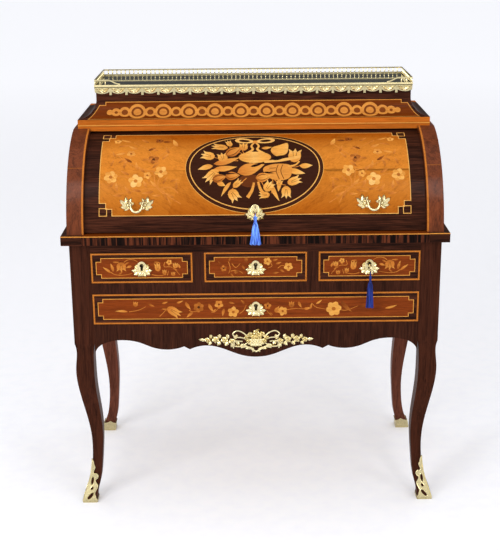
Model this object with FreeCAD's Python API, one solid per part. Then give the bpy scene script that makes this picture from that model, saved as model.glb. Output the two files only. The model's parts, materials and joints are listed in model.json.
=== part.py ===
import FreeCAD, Part
import math
import os

V = FreeCAD.Vector

# Cylinder desk. Millimetres, floor at z = 0, front towards -Y, origin under the middle of the plan.

# Whole desk
case_w = 904.0
case_depth = 475.0
case_front_y = -217.0
gap = 0.3
overrun = 2.0

# Desk top (ledge)
ledge_t = 23.0
ledge_top_z = 720.0
ledge_front_lip = 12.5
ledge_side_lip = 18.0
ledge_end_w = 50.0
slide_nest_gap = 3.5
slide_edge_gap = 0.5
leather_t = 1.0
leather_side_margin = 54.5
leather_front_margin = 54.0
leather_back_margin = 30.0

# Lower case
post_w = 50.0
panel_t = 20.0
back_t = 12.0
board_t = 12.0
rail_top_h = 22.4
rail_mid_h = 27.6
small_drawer_h = 77.0
long_drawer_h = 79.2
divider_w = 27.0
centre_drawer_w = 252.0
bearer_w = 52.0
apron_h = 89.4
side_apron_h = 70.0
# Lower edge of the apron from the leg to the middle: (share of half width, share of height)
apron_outer_shares = (
    (1.0, 0.86), (0.968, 0.635), (0.915, 0.52), (0.806, 0.473), (0.719, 0.55),
    (0.647, 0.685), (0.567, 0.76), (0.505, 0.747), (0.447, 0.673),
)
apron_inner_shares = (
    (0.411, 0.76), (0.361, 0.68), (0.3, 0.652), (0.236, 0.70), (0.162, 0.825), (0.082, 0.955), (0.0, 1.0),
)
side_apron_shares = ((1.0, 0.95), (0.93, 0.62), (0.8, 0.45), (0.55, 0.5), (0.3, 0.72), (0.0, 0.85))

# Legs: outer and inner faces of the square section at each height, as shares of the post's width
leg_h = 440.0
leg_shares = (
    (1.0, 0.0, 1.0), (0.86, 0.09, 0.99), (0.743, 0.07, 0.94), (0.64, 0.0, 0.79), (0.53, -0.09, 0.61),
    (0.42, -0.12, 0.48), (0.31, -0.07, 0.455), (0.21, 0.0, 0.52), (0.11, 0.13, 0.70), (0.0, 0.27, 1.03),
)
sole_t = 5.0
mount_wall = 2.2
front_sabot_h = 112.0
front_sabot_cuff_h = 34.0
rear_sabot_h = 32.0
sabot_leaf_share = 0.3

# Gilt apron mount
apron_mount_w = 292.0
apron_mount_h = 66.0
apron_mount_t = 9.0
apron_mount_drop = 10.0
# Outline of the right half, clockwise from the top: (share of half width, share of height)
apron_mount_shares = (
    (0.0, 1.0), (0.13, 0.93), (0.24, 0.7), (0.42, 0.72), (0.62, 0.66), (0.82, 0.63), (1.0, 0.5),
    (0.83, 0.38), (0.62, 0.42), (0.42, 0.3), (0.22, 0.18), (0.1, 0.05), (0.0, 0.0),
)

# Drawers
reveal = 0.8
drawer_front_t = 18.0
drawer_side_t = 9.0
drawer_bottom_t = 6.0
small_drawer_back_room = 93.0
long_drawer_back_room = 73.0
drawer_headroom = 5.0

# Locks, escutcheons and keys
escutcheon_w = 47.0
escutcheon_h = 44.0
escutcheon_t = 3.0
# Outline of the right half, clockwise from the top: (share of half width, share of height from the middle)
escutcheon_shares = (
    (0.0, 0.5), (0.5, 0.4), (0.62, 0.12), (0.95, 0.1),
    (0.88, -0.2), (0.55, -0.36), (0.35, -0.47), (0.0, -0.5),
)
keyhole_r = 3.4
keyhole_slot_w = 3.4
keyhole_drop = 9.0
lock_w = 60.0
lock_h = 40.0
lock_t = 9.0
lock_rise_share = 0.07
escutcheon_drop_share = 0.24
bolt_w = 20.0
bolt_t = 5.0
bolt_throw = 9.0
key_r = 2.0
fall_key_reach = 50.0
drawer_key_reach = 30.0
key_collar_r = 4.2
key_collar_l = 4.0
key_bow_r = 7.5
key_bow_wire_r = 1.6
key_seat = 6.0

# Tassels
tassel_loop_gap = 0.6
tassel_wire_r = 1.0
tassel_cord_r = 1.2
tassel_flat_share = 0.62
# Silhouette from the knot down: (share of length, share of widest radius)
tassel_shares = (
    (0.0, 0.2), (0.06, 0.36), (0.16, 0.44), (0.22, 0.3), (0.3, 0.5), (0.55, 0.72), (0.8, 0.9), (1.0, 1.0),
)
fall_tassel_l = 68.0
fall_tassel_cord_l = 14.0
fall_tassel_r = 14.0
drawer_tassel_l = 80.0
drawer_tassel_cord_l = 21.0
drawer_tassel_r = 7.5

# Upper case
cheek_w = 41.0
cheek_outset = 4.0
cheek_lip = 12.0
cheek_over_fall = 8.0
fall_set_back = 11.0
axis_drop = 25.0
cornice_side_inset = 7.0
cornice_reach = 46.0
cornice_h = 22.0
cornice_band_h = 15.0
cornice_band_step = 2.0
fall_top_gap = 1.0
frieze_h = 45.0
frieze_side_run = 45.0
frieze_top_reach = 6.0
frieze_back_inset = 31.0
cove_sag_share = 0.2
top_board_h = 20.0
marble_t = 15.0
marble_inset = 0.3

# Gallery
band_t = 3.0
band_h = 25.5
band_above_marble = 2.5
band_bay = 40.0
band_drop_w = 6.0
band_drop_h = 8.0
band_scallop_h = 5.0
gallery_h = 13.5
gallery_rail_t = 3.0
baluster_r = 1.3
baluster_pitch = 11.4
return_l = 62.0
return_scroll_share = 0.55
# S of the return, from the level rail to the band: (share of its run, share of its drop)
return_scroll_shares = ((0.0, 1.0), (0.25, 0.93), (0.48, 0.58), (0.72, 0.2), (0.88, 0.06), (1.0, 0.0))

# Cylinder fall
fall_r = 240.0
fall_t = 16.0
fall_low_deg = 6.5
fall_high_deg = 84.0
fall_open_deg = 50.0
guide_pin_r = 4.0
guide_pin_l = 9.5
guide_groove_depth = 11.0
guide_low_deg = 20.0
guide_high_deg = 76.0
fall_key_deg = 18.0
fall_escutcheon_deg = 19.5
fall_lock_let_in = 4.0
handle_deg = 22.0
handle_end_gap = 127.5
handle_span = 52.0
handle_bar_r = 3.6
handle_reach = 21.0
handle_foot_r = 7.5
handle_foot_t = 5.0
handle_rise = 9.0

# Fitted nest of pigeonholes and drawers
nest_side_gap = 4.0
nest_set_back = 24.0
nest_fall_gap = 4.0
nest_back_gap = 4.0
nest_board_t = 9.0
nest_drawer_tier_h = 62.0
nest_hole_tier_h = 78.0
nest_drawer_count = 3
nest_hole_count = 5
nest_knob_r = 6.5
nest_knob_l = 11.0
nest_knob_neck_r = 3.0

# Places worked out from the sizes above
half_case = case_w / 2
case_back_y = case_front_y + case_depth
case_mid_y = (case_front_y + case_back_y) / 2
post_in_x = half_case - post_w
front_post_y = case_front_y + post_w
rear_post_y = case_back_y - post_w
back_in_y = case_back_y - back_t
small_drawer_back_y = back_in_y - small_drawer_back_room
long_drawer_back_y = back_in_y - long_drawer_back_room
ledge_low_z = ledge_top_z - ledge_t
small_high_z = ledge_low_z - rail_top_h
small_low_z = small_high_z - small_drawer_h
long_high_z = small_low_z - rail_mid_h
long_low_z = long_high_z - long_drawer_h
half_centre = centre_drawer_w / 2
side_drawer_in_x = half_centre + divider_w
right_drawer_x = (side_drawer_in_x + post_in_x) / 2
half_ledge = half_case + ledge_side_lip
ledge_end_in_x = half_ledge - ledge_end_w
half_slide = ledge_end_in_x - slide_edge_gap
half_leather = half_slide - leather_side_margin
ledge_front_y = case_front_y - ledge_front_lip
axis_y = case_front_y + fall_set_back + fall_r
axis_z = ledge_top_z - axis_drop
axis_point = V(0, axis_y, axis_z)
cheek_out_x = half_case + cheek_outset
cheek_in_x = cheek_out_x - cheek_w
cheek_r = fall_r + cheek_lip
cheek_top_z = axis_z + fall_r + cheek_over_fall
cornice_front_y = axis_y - cornice_reach
cornice_low_z = axis_z + fall_r + fall_top_gap
cornice_top_z = cheek_top_z + cornice_h
half_cornice = half_case - cornice_side_inset
frieze_top_z = cornice_top_z + frieze_h
half_frieze_top = half_cornice - frieze_side_run
frieze_top_front_y = axis_y - frieze_top_reach
frieze_back_y = case_back_y - frieze_back_inset
board_top_z = frieze_top_z + top_board_h
marble_top_z = board_top_z + marble_t
band_top_z = marble_top_z + band_above_marble
gallery_top_z = band_top_z + gallery_h
rail_low_z = gallery_top_z - gallery_rail_t
half_gallery = half_frieze_top + band_t
gallery_front_y = frieze_top_front_y - band_t
gallery_back_y = frieze_back_y + band_t
half_fall = cheek_in_x - slide_edge_gap
handle_x = half_fall - handle_end_gap
fall_in_r = fall_r - fall_t
groove_r = fall_r - fall_t / 2
nest_front_y = axis_y + nest_set_back
slide_back_y = nest_front_y - slide_nest_gap
ledge_back_front_y = slide_back_y + slide_edge_gap
half_nest = cheek_in_x - nest_side_gap
nest_shelf_z = ledge_top_z + nest_drawer_tier_h
nest_top_z = nest_shelf_z + nest_hole_tier_h
nest_reach = fall_in_r - nest_fall_gap
nest_last_y = back_in_y - nest_back_gap
nest_low_back_y = min(nest_last_y, axis_y + math.sqrt(nest_reach ** 2 - (nest_shelf_z - axis_z) ** 2))
nest_high_back_y = min(nest_last_y, axis_y + math.sqrt(nest_reach ** 2 - (nest_top_z - axis_z) ** 2))
lock_back_y = case_front_y + drawer_front_t + lock_t
fall_loop_r = fall_r + fall_key_reach - key_bow_wire_r - tassel_wire_r
drawer_loop_y = case_front_y - drawer_key_reach + key_bow_wire_r + tassel_wire_r


def box(x0, x1, y0, y1, z0, z1):
    return Part.makeBox(x1 - x0, y1 - y0, z1 - z0, V(x0, y0, z0))


def mirrored(shape):
    return shape.mirror(V(0, 0, 0), V(1, 0, 0))


def pair(shape):
    return Part.makeCompound([shape, mirrored(shape)])


def spline(points):
    curve = Part.BSplineCurve()
    curve.interpolate(points)
    return curve.toShape()


def line(start, end):
    return Part.LineSegment(start, end).toShape()


def prism(edges, travel):
    return Part.Face(Part.Wire(edges)).extrude(travel)


def rod(radius, start, end):
    return Part.makeCylinder(radius, (end - start).Length, start, end - start)


def on_fall(shape, degrees):
    """Turn a shape modelled at the front of the cylinder up to its angle on it."""
    turned = shape.copy()
    turned.rotate(axis_point, V(1, 0, 0), -degrees)
    return turned


# Legs and their gilt mounts
def leg_loft(grow):
    sections = []
    for height_share, in_share, out_share in leg_shares:
        low = in_share * post_w - grow
        high = out_share * post_w + grow
        corners = ((low, low), (high, low), (high, high), (low, high), (low, low))
        z = height_share * leg_h
        sections.append(Part.makePolygon([V(post_in_x + p, rear_post_y + q, z) for p, q in corners]))
    return Part.makeLoft(sections, True, False)


def leg_rear_right():
    post = box(post_in_x, half_case, rear_post_y, case_back_y, leg_h, ledge_low_z)
    sole = box(post_in_x - post_w, half_case + post_w, rear_post_y - post_w, case_back_y + post_w,
               -overrun, sole_t)
    return leg_loft(0).cut(sole).fuse(post)


def sabot_rear_right(cuff_h, leaf_h):
    cuff = box(post_in_x - post_w, half_case + post_w, rear_post_y - post_w, case_back_y + post_w,
               -overrun, cuff_h)
    leaf_x = post_in_x + sabot_leaf_share * post_w
    leaf_y = rear_post_y + sabot_leaf_share * post_w
    leaf = box(leaf_x, half_case + post_w, leaf_y, case_back_y + post_w, -overrun, leaf_h)
    return leg_loft(mount_wall).common(cuff.fuse(leaf)).cut(leg_rear_right())


def to_front(shape):
    return shape.mirror(V(0, case_mid_y, 0), V(0, 1, 0))


def legs():
    rear = leg_rear_right()
    front = to_front(rear)
    return {
        "leg_front_left": mirrored(front),
        "leg_front_right": front,
        "leg_rear_left": mirrored(rear),
        "leg_rear_right": rear,
        "front_sabots": pair(to_front(sabot_rear_right(front_sabot_cuff_h, front_sabot_h))),
        "rear_sabots": pair(sabot_rear_right(rear_sabot_h, rear_sabot_h)),
    }


# Lower case
def apron_front():
    def place(share, side):
        return V(side * share[0] * post_in_x, case_front_y, long_low_z - share[1] * apron_h)

    right_top = V(post_in_x, case_front_y, long_low_z)
    left_top = V(-post_in_x, case_front_y, long_low_z)
    outer_right = [place(share, 1) for share in apron_outer_shares]
    outer_left = [place(share, -1) for share in reversed(apron_outer_shares)]
    inner = [place(share, 1) for share in apron_inner_shares]
    inner += [place(share, -1) for share in reversed(apron_inner_shares[:-1])]
    edges = [
        line(right_top, outer_right[0]),
        spline(outer_right),
        line(outer_right[-1], inner[0]),
        spline(inner),
        line(inner[-1], outer_left[0]),
        spline(outer_left),
        line(outer_left[-1], left_top),
        line(left_top, right_top),
    ]
    return prism(edges, V(0, panel_t, 0))


def side_panel():
    half_span = (rear_post_y - front_post_y) / 2

    def place(share, side):
        return V(half_case - panel_t, case_mid_y + side * share[0] * half_span,
                 long_low_z - share[1] * side_apron_h)

    low = [place(share, -1) for share in side_apron_shares]
    low += [place(share, 1) for share in reversed(side_apron_shares[:-1])]
    front_top = V(half_case - panel_t, front_post_y, ledge_low_z)
    rear_top = V(half_case - panel_t, rear_post_y, ledge_low_z)
    edges = [line(front_top, low[0]), spline(low), line(low[-1], rear_top), line(rear_top, front_top)]
    return prism(edges, V(panel_t, 0, 0))


def level_board(front_y, top_z):
    """A board that fills the case between the posts and out to the side panels."""
    wide_x = half_case - panel_t
    middle = box(-wide_x, wide_x, front_post_y, rear_post_y, top_z - board_t, top_z)
    long_strip = box(-post_in_x, post_in_x, front_y, back_in_y, top_z - board_t, top_z)
    return middle.fuse(long_strip).removeSplitter()


def rail_top():
    rail = box(-post_in_x, post_in_x, case_front_y, front_post_y, small_high_z, ledge_low_z)
    mortise_y = case_front_y + drawer_front_t + (lock_t - bolt_t) / 2
    mortise = box(right_drawer_x - bolt_w / 2 - gap, right_drawer_x + bolt_w / 2 + gap,
                  mortise_y - gap, mortise_y + bolt_t + gap,
                  small_high_z - overrun, small_high_z + bolt_throw + overrun)
    return rail.cut(mortise)


def lower_case():
    bearer = box(half_case - panel_t - bearer_w, half_case - panel_t, front_post_y, rear_post_y,
                 small_high_z, ledge_low_z)
    divider = box(half_centre, side_drawer_in_x, case_front_y, back_in_y, small_low_z, small_high_z)
    return {
        "front_apron": apron_front(),
        "side_panel_left": mirrored(side_panel()),
        "side_panel_right": side_panel(),
        "lower_back": box(-post_in_x, post_in_x, back_in_y, case_back_y, leg_h, ledge_low_z),
        "top_rail": rail_top(),
        "middle_rail": box(-post_in_x, post_in_x, case_front_y, front_post_y, long_high_z, small_low_z),
        "drawer_partitions": pair(divider),
        "dust_board": level_board(front_post_y, small_low_z),
        "bottom_board": level_board(case_front_y + panel_t, long_low_z),
        "slide_bearers": pair(bearer),
    }


# Desk top
def desk_top():
    end = box(ledge_end_in_x, half_ledge, ledge_front_y, case_back_y, ledge_low_z, ledge_top_z)
    slide_top_z = ledge_top_z - gap
    slide = box(-half_slide, half_slide, ledge_front_y, slide_back_y, ledge_low_z + gap, slide_top_z)
    leather_back_y = slide_back_y - leather_back_margin
    leather = box(-half_leather, half_leather, ledge_front_y + leather_front_margin, leather_back_y,
                  slide_top_z - leather_t, slide_top_z)
    strike = on_fall(fall_bolt_bar(gap + gap, bolt_throw + overrun), fall_key_deg)
    return {
        "ledge_ends": pair(end),
        "ledge_back": box(-ledge_end_in_x, ledge_end_in_x, ledge_back_front_y, case_back_y,
                          ledge_low_z, ledge_top_z),
        "writing_slide": slide.cut(leather).cut(strike),
        "slide_leather": leather,
    }


# Locks, escutcheons, keys and tassels, modelled on a face that looks along -Y
def keyhole(x, z, start_y, end_y):
    hole = rod(keyhole_r, V(x, start_y, z), V(x, end_y, z))
    slot = box(x - keyhole_slot_w / 2, x + keyhole_slot_w / 2, start_y, end_y, z - keyhole_drop, z)
    return hole.fuse(slot)


def escutcheon(x, z, face_y, sink):
    points = [V(x + sx * escutcheon_w / 2, face_y - escutcheon_t, z + sz * escutcheon_h)
              for sx, sz in escutcheon_shares]
    points += [V(x - sx * escutcheon_w / 2, face_y - escutcheon_t, z + sz * escutcheon_h)
               for sx, sz in reversed(escutcheon_shares[1:-1])]
    curve = Part.BSplineCurve()
    curve.interpolate(points, True)
    return prism([curve.toShape()], V(0, escutcheon_t + sink, 0))


def key(x, z, face_y, inner_y, reach):
    end_y = face_y - reach
    stem = rod(key_r, V(x, inner_y, z), V(x, end_y, z))
    collar_y = end_y + key_collar_l + tassel_wire_r * 4
    collar = rod(key_collar_r, V(x, collar_y + key_collar_l, z), V(x, collar_y, z))
    bow = Part.makeTorus(key_bow_r, key_bow_wire_r, V(x, end_y - key_bow_r, z), V(1, 0, 0))
    return stem.fuse([collar, bow])


def tassel(x, top_y, top_z, cord_l, length, widest_r):
    knot_z = top_z - cord_l
    cord = rod(tassel_cord_r, V(x, top_y, top_z + tassel_wire_r), V(x, top_y, knot_z - tassel_cord_r))
    sections = []
    for length_share, r_share in tassel_shares:
        z = knot_z - length_share * length
        round_wire = Part.Ellipse(V(x, top_y, z), r_share * widest_r, r_share * widest_r * tassel_flat_share)
        sections.append(Part.Wire(round_wire.toShape()))
    return Part.makeLoft(sections, True, True).fuse(cord)


def loop_ring(x, y, z):
    return Part.makeTorus(key_r + tassel_loop_gap + tassel_wire_r, tassel_wire_r, V(x, y, z), V(0, 1, 0))


def loop_drop():
    return key_r + tassel_loop_gap + tassel_wire_r


# Drawers
def drawer_front(x0, x1, z0, height):
    key_x = (x0 + x1) / 2
    front = box(x0 + reveal, x1 - reveal, case_front_y, case_front_y + drawer_front_t,
                z0 + reveal, z0 + height - reveal)
    hole = keyhole(key_x, key_height(z0, height), case_front_y - overrun, lock_back_y)
    return front.cut(hole)


def key_height(z0, height):
    return z0 + height / 2 + lock_rise_share * height


def drawer_box(x0, x1, z0, height, back_y):
    front_y = case_front_y + drawer_front_t
    low_z = z0 + gap
    high_z = z0 + height - drawer_headroom
    left = x0 + reveal
    right = x1 - reveal
    return Part.makeCompound([
        box(left, left + drawer_side_t, front_y, back_y, low_z, high_z),
        box(right - drawer_side_t, right, front_y, back_y, low_z, high_z),
        box(left + drawer_side_t, right - drawer_side_t, back_y - drawer_side_t, back_y, low_z, high_z),
        box(left + drawer_side_t, right - drawer_side_t, front_y, back_y - drawer_side_t,
            low_z, low_z + drawer_bottom_t),
    ])


def drawer_lock(x0, x1, z0, height):
    key_x = (x0 + x1) / 2
    key_z = key_height(z0, height)
    front_y = case_front_y + drawer_front_t
    case = box(key_x - lock_w / 2, key_x + lock_w / 2, front_y, lock_back_y,
               key_z - lock_h / 2, key_z + lock_h / 2)
    case = case.cut(drawer_bolt_bar(key_x, z0, height, gap))
    case = case.cut(rod(key_r + gap, V(key_x, front_y - overrun, key_z),
                        V(key_x, front_y + key_seat + gap, key_z)))
    plate = escutcheon(key_x, key_z - escutcheon_drop_share * escutcheon_h, case_front_y, 0)
    plate = plate.cut(keyhole(key_x, key_z, case_front_y - escutcheon_t - overrun, case_front_y + overrun))
    return Part.makeCompound([plate, case])


def drawer_bolt_bar(key_x, z0, height, grow):
    """The bolt's bar above the key, up to the top edge of the drawer front."""
    bar_y = case_front_y + drawer_front_t + (lock_t - bolt_t) / 2
    low_z = key_height(z0, height) + keyhole_r
    high_z = z0 + height - reveal
    return box(key_x - bolt_w / 2 - grow, key_x + bolt_w / 2 + grow,
               bar_y - grow, bar_y + bolt_t + grow, low_z - grow, high_z)


def drawers():
    places = {
        "left": (-post_in_x, -side_drawer_in_x, small_low_z, small_drawer_h, small_drawer_back_y),
        "centre": (-half_centre, half_centre, small_low_z, small_drawer_h, small_drawer_back_y),
        "right": (side_drawer_in_x, post_in_x, small_low_z, small_drawer_h, small_drawer_back_y),
        "long": (-post_in_x, post_in_x, long_low_z, long_drawer_h, long_drawer_back_y),
    }
    pieces = {}
    for name, (x0, x1, z0, height, back_y) in places.items():
        pieces[name + "_drawer_front"] = drawer_front(x0, x1, z0, height)
        pieces[name + "_drawer_box"] = drawer_box(x0, x1, z0, height, back_y)
        pieces[name + "_drawer_lock"] = drawer_lock(x0, x1, z0, height)
    key_z = key_height(small_low_z, small_drawer_h)
    inner_y = case_front_y + drawer_front_t + key_seat
    pieces["drawer_bolt"] = drawer_bolt_bar(right_drawer_x, small_low_z, small_drawer_h, 0)
    pieces["drawer_key"] = key(right_drawer_x, key_z, case_front_y, inner_y, drawer_key_reach)
    hanging = tassel(right_drawer_x, drawer_loop_y, key_z - loop_drop(),
                     drawer_tassel_cord_l, drawer_tassel_l, drawer_tassel_r)
    pieces["drawer_tassel"] = hanging.fuse(loop_ring(right_drawer_x, drawer_loop_y, key_z))
    return pieces


# Upper case
def on_cylinder(radius, degrees, x):
    angle = math.radians(degrees)
    return V(x, axis_y - radius * math.cos(angle), axis_z + radius * math.sin(angle))


def sector(r_in, r_out, low_deg, high_deg, x0, x1):
    mid_deg = (low_deg + high_deg) / 2
    outer = Part.Arc(on_cylinder(r_out, low_deg, x0), on_cylinder(r_out, mid_deg, x0),
                     on_cylinder(r_out, high_deg, x0)).toShape()
    inner = Part.Arc(on_cylinder(r_in, high_deg, x0), on_cylinder(r_in, mid_deg, x0),
                     on_cylinder(r_in, low_deg, x0)).toShape()
    edges = [outer, line(on_cylinder(r_out, high_deg, x0), on_cylinder(r_in, high_deg, x0)),
             inner, line(on_cylinder(r_in, low_deg, x0), on_cylinder(r_out, low_deg, x0))]
    return prism(edges, V(x1 - x0, 0, 0))


def cheek():
    disc = rod(cheek_r, V(cheek_in_x, axis_y, axis_z), V(cheek_out_x, axis_y, axis_z))
    quarter = disc.common(box(cheek_in_x, cheek_out_x, axis_y - cheek_r, axis_y, ledge_top_z, cheek_top_z))
    rear = box(cheek_in_x, cheek_out_x, axis_y, case_back_y, ledge_top_z, cheek_top_z)
    half_groove = guide_pin_r + gap
    last_deg = guide_high_deg + fall_open_deg
    end_x = cheek_in_x + guide_groove_depth
    groove = sector(groove_r - half_groove, groove_r + half_groove, guide_low_deg, last_deg,
                    cheek_in_x - overrun, end_x)
    ends = [rod(half_groove, on_cylinder(groove_r, degrees, cheek_in_x - overrun),
                on_cylinder(groove_r, degrees, end_x)) for degrees in (guide_low_deg, last_deg)]
    return quarter.fuse(rear).removeSplitter().cut([groove] + ends)


def cornice():
    slab = box(-half_cornice, half_cornice, cornice_front_y, case_back_y,
               cornice_top_z - cornice_band_h, cornice_top_z)
    under = box(-half_cornice, half_cornice, cornice_front_y + cornice_band_step, case_back_y,
                cheek_top_z, cornice_top_z - cornice_band_h)
    lip = box(-half_fall, half_fall, cornice_front_y + cornice_band_step, back_in_y,
              cornice_low_z, cheek_top_z)
    return slab.fuse([under, lip]).removeSplitter()


def cove(outer, inner):
    """An edge that sweeps in from the cornice's top edge to the top board, hollow side out."""
    chord = inner - outer
    run = math.hypot(chord.x, chord.y)
    inward = V(chord.x, chord.y, 0) * (chord.z / run)
    middle = outer + chord * (1 / 2) + (inward - V(0, 0, run)) * cove_sag_share
    return Part.Arc(outer, middle, inner).toShape()


def frieze():
    front_low = V(-half_cornice, cornice_front_y, cornice_top_z)
    front_high = V(-half_cornice, frieze_top_front_y, frieze_top_z)
    back_high = V(-half_cornice, frieze_back_y, frieze_top_z)
    back_low = V(-half_cornice, frieze_back_y, cornice_top_z)
    along = prism([cove(front_low, front_high), line(front_high, back_high), line(back_high, back_low),
                   line(back_low, front_low)], V(half_cornice + half_cornice, 0, 0))
    right_low = V(half_cornice, cornice_front_y, cornice_top_z)
    right_high = V(half_frieze_top, cornice_front_y, frieze_top_z)
    left_high = V(-half_frieze_top, cornice_front_y, frieze_top_z)
    across = prism([cove(right_low, right_high), line(right_high, left_high), cove(front_low, left_high),
                    line(front_low, right_low)], V(0, case_depth, 0))
    return along.common(across)


def upper_case():
    half_marble = half_frieze_top - marble_inset
    return {
        "cheek_left": mirrored(cheek()),
        "cheek_right": cheek(),
        "upper_back": box(-cheek_in_x, cheek_in_x, back_in_y, case_back_y, ledge_top_z, cheek_top_z),
        "cornice": cornice(),
        "frieze_cove": frieze(),
        "top_board": box(-half_frieze_top, half_frieze_top, frieze_top_front_y, frieze_back_y,
                         frieze_top_z, board_top_z),
        "marble_top": box(-half_marble, half_marble, frieze_top_front_y + marble_inset,
                          frieze_back_y - marble_inset, board_top_z, marble_top_z),
    }


# Gilt gallery
def band_plate(start, along, length, thick):
    """A band with square drops and scallops along its lower edge; start is its top corner."""
    bays = max(1, round(length / band_bay))
    bay = length / bays
    up = V(0, 0, 1)
    edge_low = -(band_h - band_drop_h)

    def place(u, w):
        return start + along * u + up * w

    edges = [line(place(0, 0), place(0, edge_low))]
    at = place(0, edge_low)
    for index in range(bays):
        from_u = index * bay + (band_drop_w / 2 if index else 0)
        to_u = (index + 1) * bay - (band_drop_w / 2 if index < bays - 1 else 0)
        end = place(to_u, edge_low)
        edges.append(Part.Arc(at, place((from_u + to_u) / 2, edge_low - band_scallop_h), end).toShape())
        at = end
        if index < bays - 1:
            for u, w in ((to_u, -band_h), (to_u + band_drop_w, -band_h), (to_u + band_drop_w, edge_low)):
                edges.append(line(at, place(u, w)))
                at = place(u, w)
    edges += [line(at, place(length, 0)), line(place(length, 0), place(0, 0))]
    return prism(edges, thick)


def gallery_return():
    """The front end of the rail: level, then an S down to the band."""
    flat_l = return_l * (1 - return_scroll_share)
    drop = gallery_h - gallery_rail_t
    level_x = half_gallery - gallery_rail_t

    def curve_at(lift):
        return [V(level_x - flat_l - u_share * (return_l - flat_l), gallery_front_y,
                  band_top_z + lift + w_share * drop) for u_share, w_share in return_scroll_shares]

    upper = curve_at(gallery_rail_t)
    lower = curve_at(0)
    upper_start = V(level_x, gallery_front_y, gallery_top_z)
    lower_start = V(level_x, gallery_front_y, rail_low_z)
    edges = [line(lower_start, upper_start), line(upper_start, upper[0]), spline(upper),
             line(upper[-1], lower[-1]), spline(lower[::-1]), line(lower[0], lower_start)]
    return prism(edges, V(0, gallery_rail_t, 0))


def baluster_row(start, end):
    count = int((end - start).Length / baluster_pitch)
    step = (end - start) * (1 / count)
    return [rod(baluster_r, start + step * index, start + step * index + V(0, 0, gallery_h - gallery_rail_t))
            for index in range(1, count)]


def gallery():
    depth = gallery_back_y - gallery_front_y - band_t - band_t
    width = half_gallery + half_gallery
    side = band_plate(V(half_frieze_top, gallery_front_y + band_t, band_top_z), V(0, 1, 0), depth,
                      V(band_t, 0, 0))
    band = [
        band_plate(V(-half_gallery, gallery_front_y, band_top_z), V(1, 0, 0), width, V(0, band_t, 0)),
        band_plate(V(-half_gallery, frieze_back_y, band_top_z), V(1, 0, 0), width, V(0, band_t, 0)),
        side,
        mirrored(side),
    ]
    rail_side = box(half_gallery - gallery_rail_t, half_gallery, gallery_front_y,
                    gallery_back_y - gallery_rail_t, rail_low_z, gallery_top_z)
    rail = [
        box(-half_gallery, half_gallery, gallery_back_y - gallery_rail_t, gallery_back_y,
            rail_low_z, gallery_top_z),
        rail_side,
        mirrored(rail_side),
        gallery_return(),
        mirrored(gallery_return()),
    ]
    line_x = half_gallery - gallery_rail_t / 2
    line_front_y = gallery_front_y + gallery_rail_t / 2
    line_back_y = gallery_back_y - gallery_rail_t / 2
    corner = V(line_x, line_back_y, band_top_z)
    front_corner = V(line_x, line_front_y, band_top_z)
    flat_l = return_l * (1 - return_scroll_share)
    side_row = baluster_row(front_corner, corner)
    side_row += baluster_row(front_corner, front_corner - V(flat_l + baluster_pitch, 0, 0))
    side_row.append(rod(baluster_r, front_corner, front_corner + V(0, 0, gallery_h - gallery_rail_t)))
    row = baluster_row(mirrored_point(corner), corner)
    row += side_row + [mirrored(shape) for shape in side_row]
    return {
        "gallery_band": Part.makeCompound(band),
        "gallery_rail": Part.makeCompound(rail),
        "gallery_balusters": Part.makeCompound(row),
    }


def mirrored_point(point):
    return V(-point.x, point.y, point.z)


def apron_mount():
    low_z = long_low_z - apron_h + apron_mount_drop
    face_y = case_front_y - apron_mount_t
    points = [V(sx * apron_mount_w / 2, face_y, low_z + sz * apron_mount_h) for sx, sz in apron_mount_shares]
    points += [V(-sx * apron_mount_w / 2, face_y, low_z + sz * apron_mount_h)
               for sx, sz in reversed(apron_mount_shares[1:-1])]
    curve = Part.BSplineCurve()
    curve.interpolate(points, True)
    return prism([curve.toShape()], V(0, apron_mount_t, 0))


# Cylinder fall and what it carries, modelled at the front of the cylinder and turned up to its angle
def fall_lock_box(grow):
    front_y = axis_y - fall_in_r - fall_lock_let_in
    return box(-lock_w / 2 - grow, lock_w / 2 + grow, front_y - grow, front_y + lock_t,
               axis_z - lock_h / 2 - grow, axis_z + lock_h / 2 + grow)


def fall_bolt_bar(grow, throw):
    """The bolt's bar below the key, down to the lower edge of the fall."""
    bar_y = axis_y - fall_in_r - fall_lock_let_in + (lock_t - bolt_t) / 2
    edge_drop = fall_in_r * math.tan(math.radians(fall_key_deg - fall_low_deg)) - overrun
    return box(-bolt_w / 2 - grow, bolt_w / 2 + grow, bar_y - grow, bar_y + bolt_t + grow,
               axis_z - edge_drop - throw, axis_z - keyhole_r + grow)


def cylinder_core():
    return rod(fall_r, V(-half_fall, axis_y, axis_z), V(half_fall, axis_y, axis_z))


def cylinder_fall():
    shell = sector(fall_in_r, fall_r, fall_low_deg, fall_high_deg, -half_fall, half_fall)
    hole = keyhole(0, axis_z, axis_y - fall_r - overrun, axis_y - fall_in_r)
    cuts = [fall_lock_box(gap), fall_bolt_bar(gap, bolt_throw + overrun), hole]
    return shell.cut([on_fall(cut, fall_key_deg) for cut in cuts])


def guide_pins():
    pin = rod(guide_pin_r, on_cylinder(groove_r, 0, half_fall),
              on_cylinder(groove_r, 0, half_fall + guide_pin_l))
    pins = [on_fall(pin, degrees) for degrees in (guide_low_deg, guide_high_deg)]
    return Part.makeCompound(pins + [mirrored(shape) for shape in pins])


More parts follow.
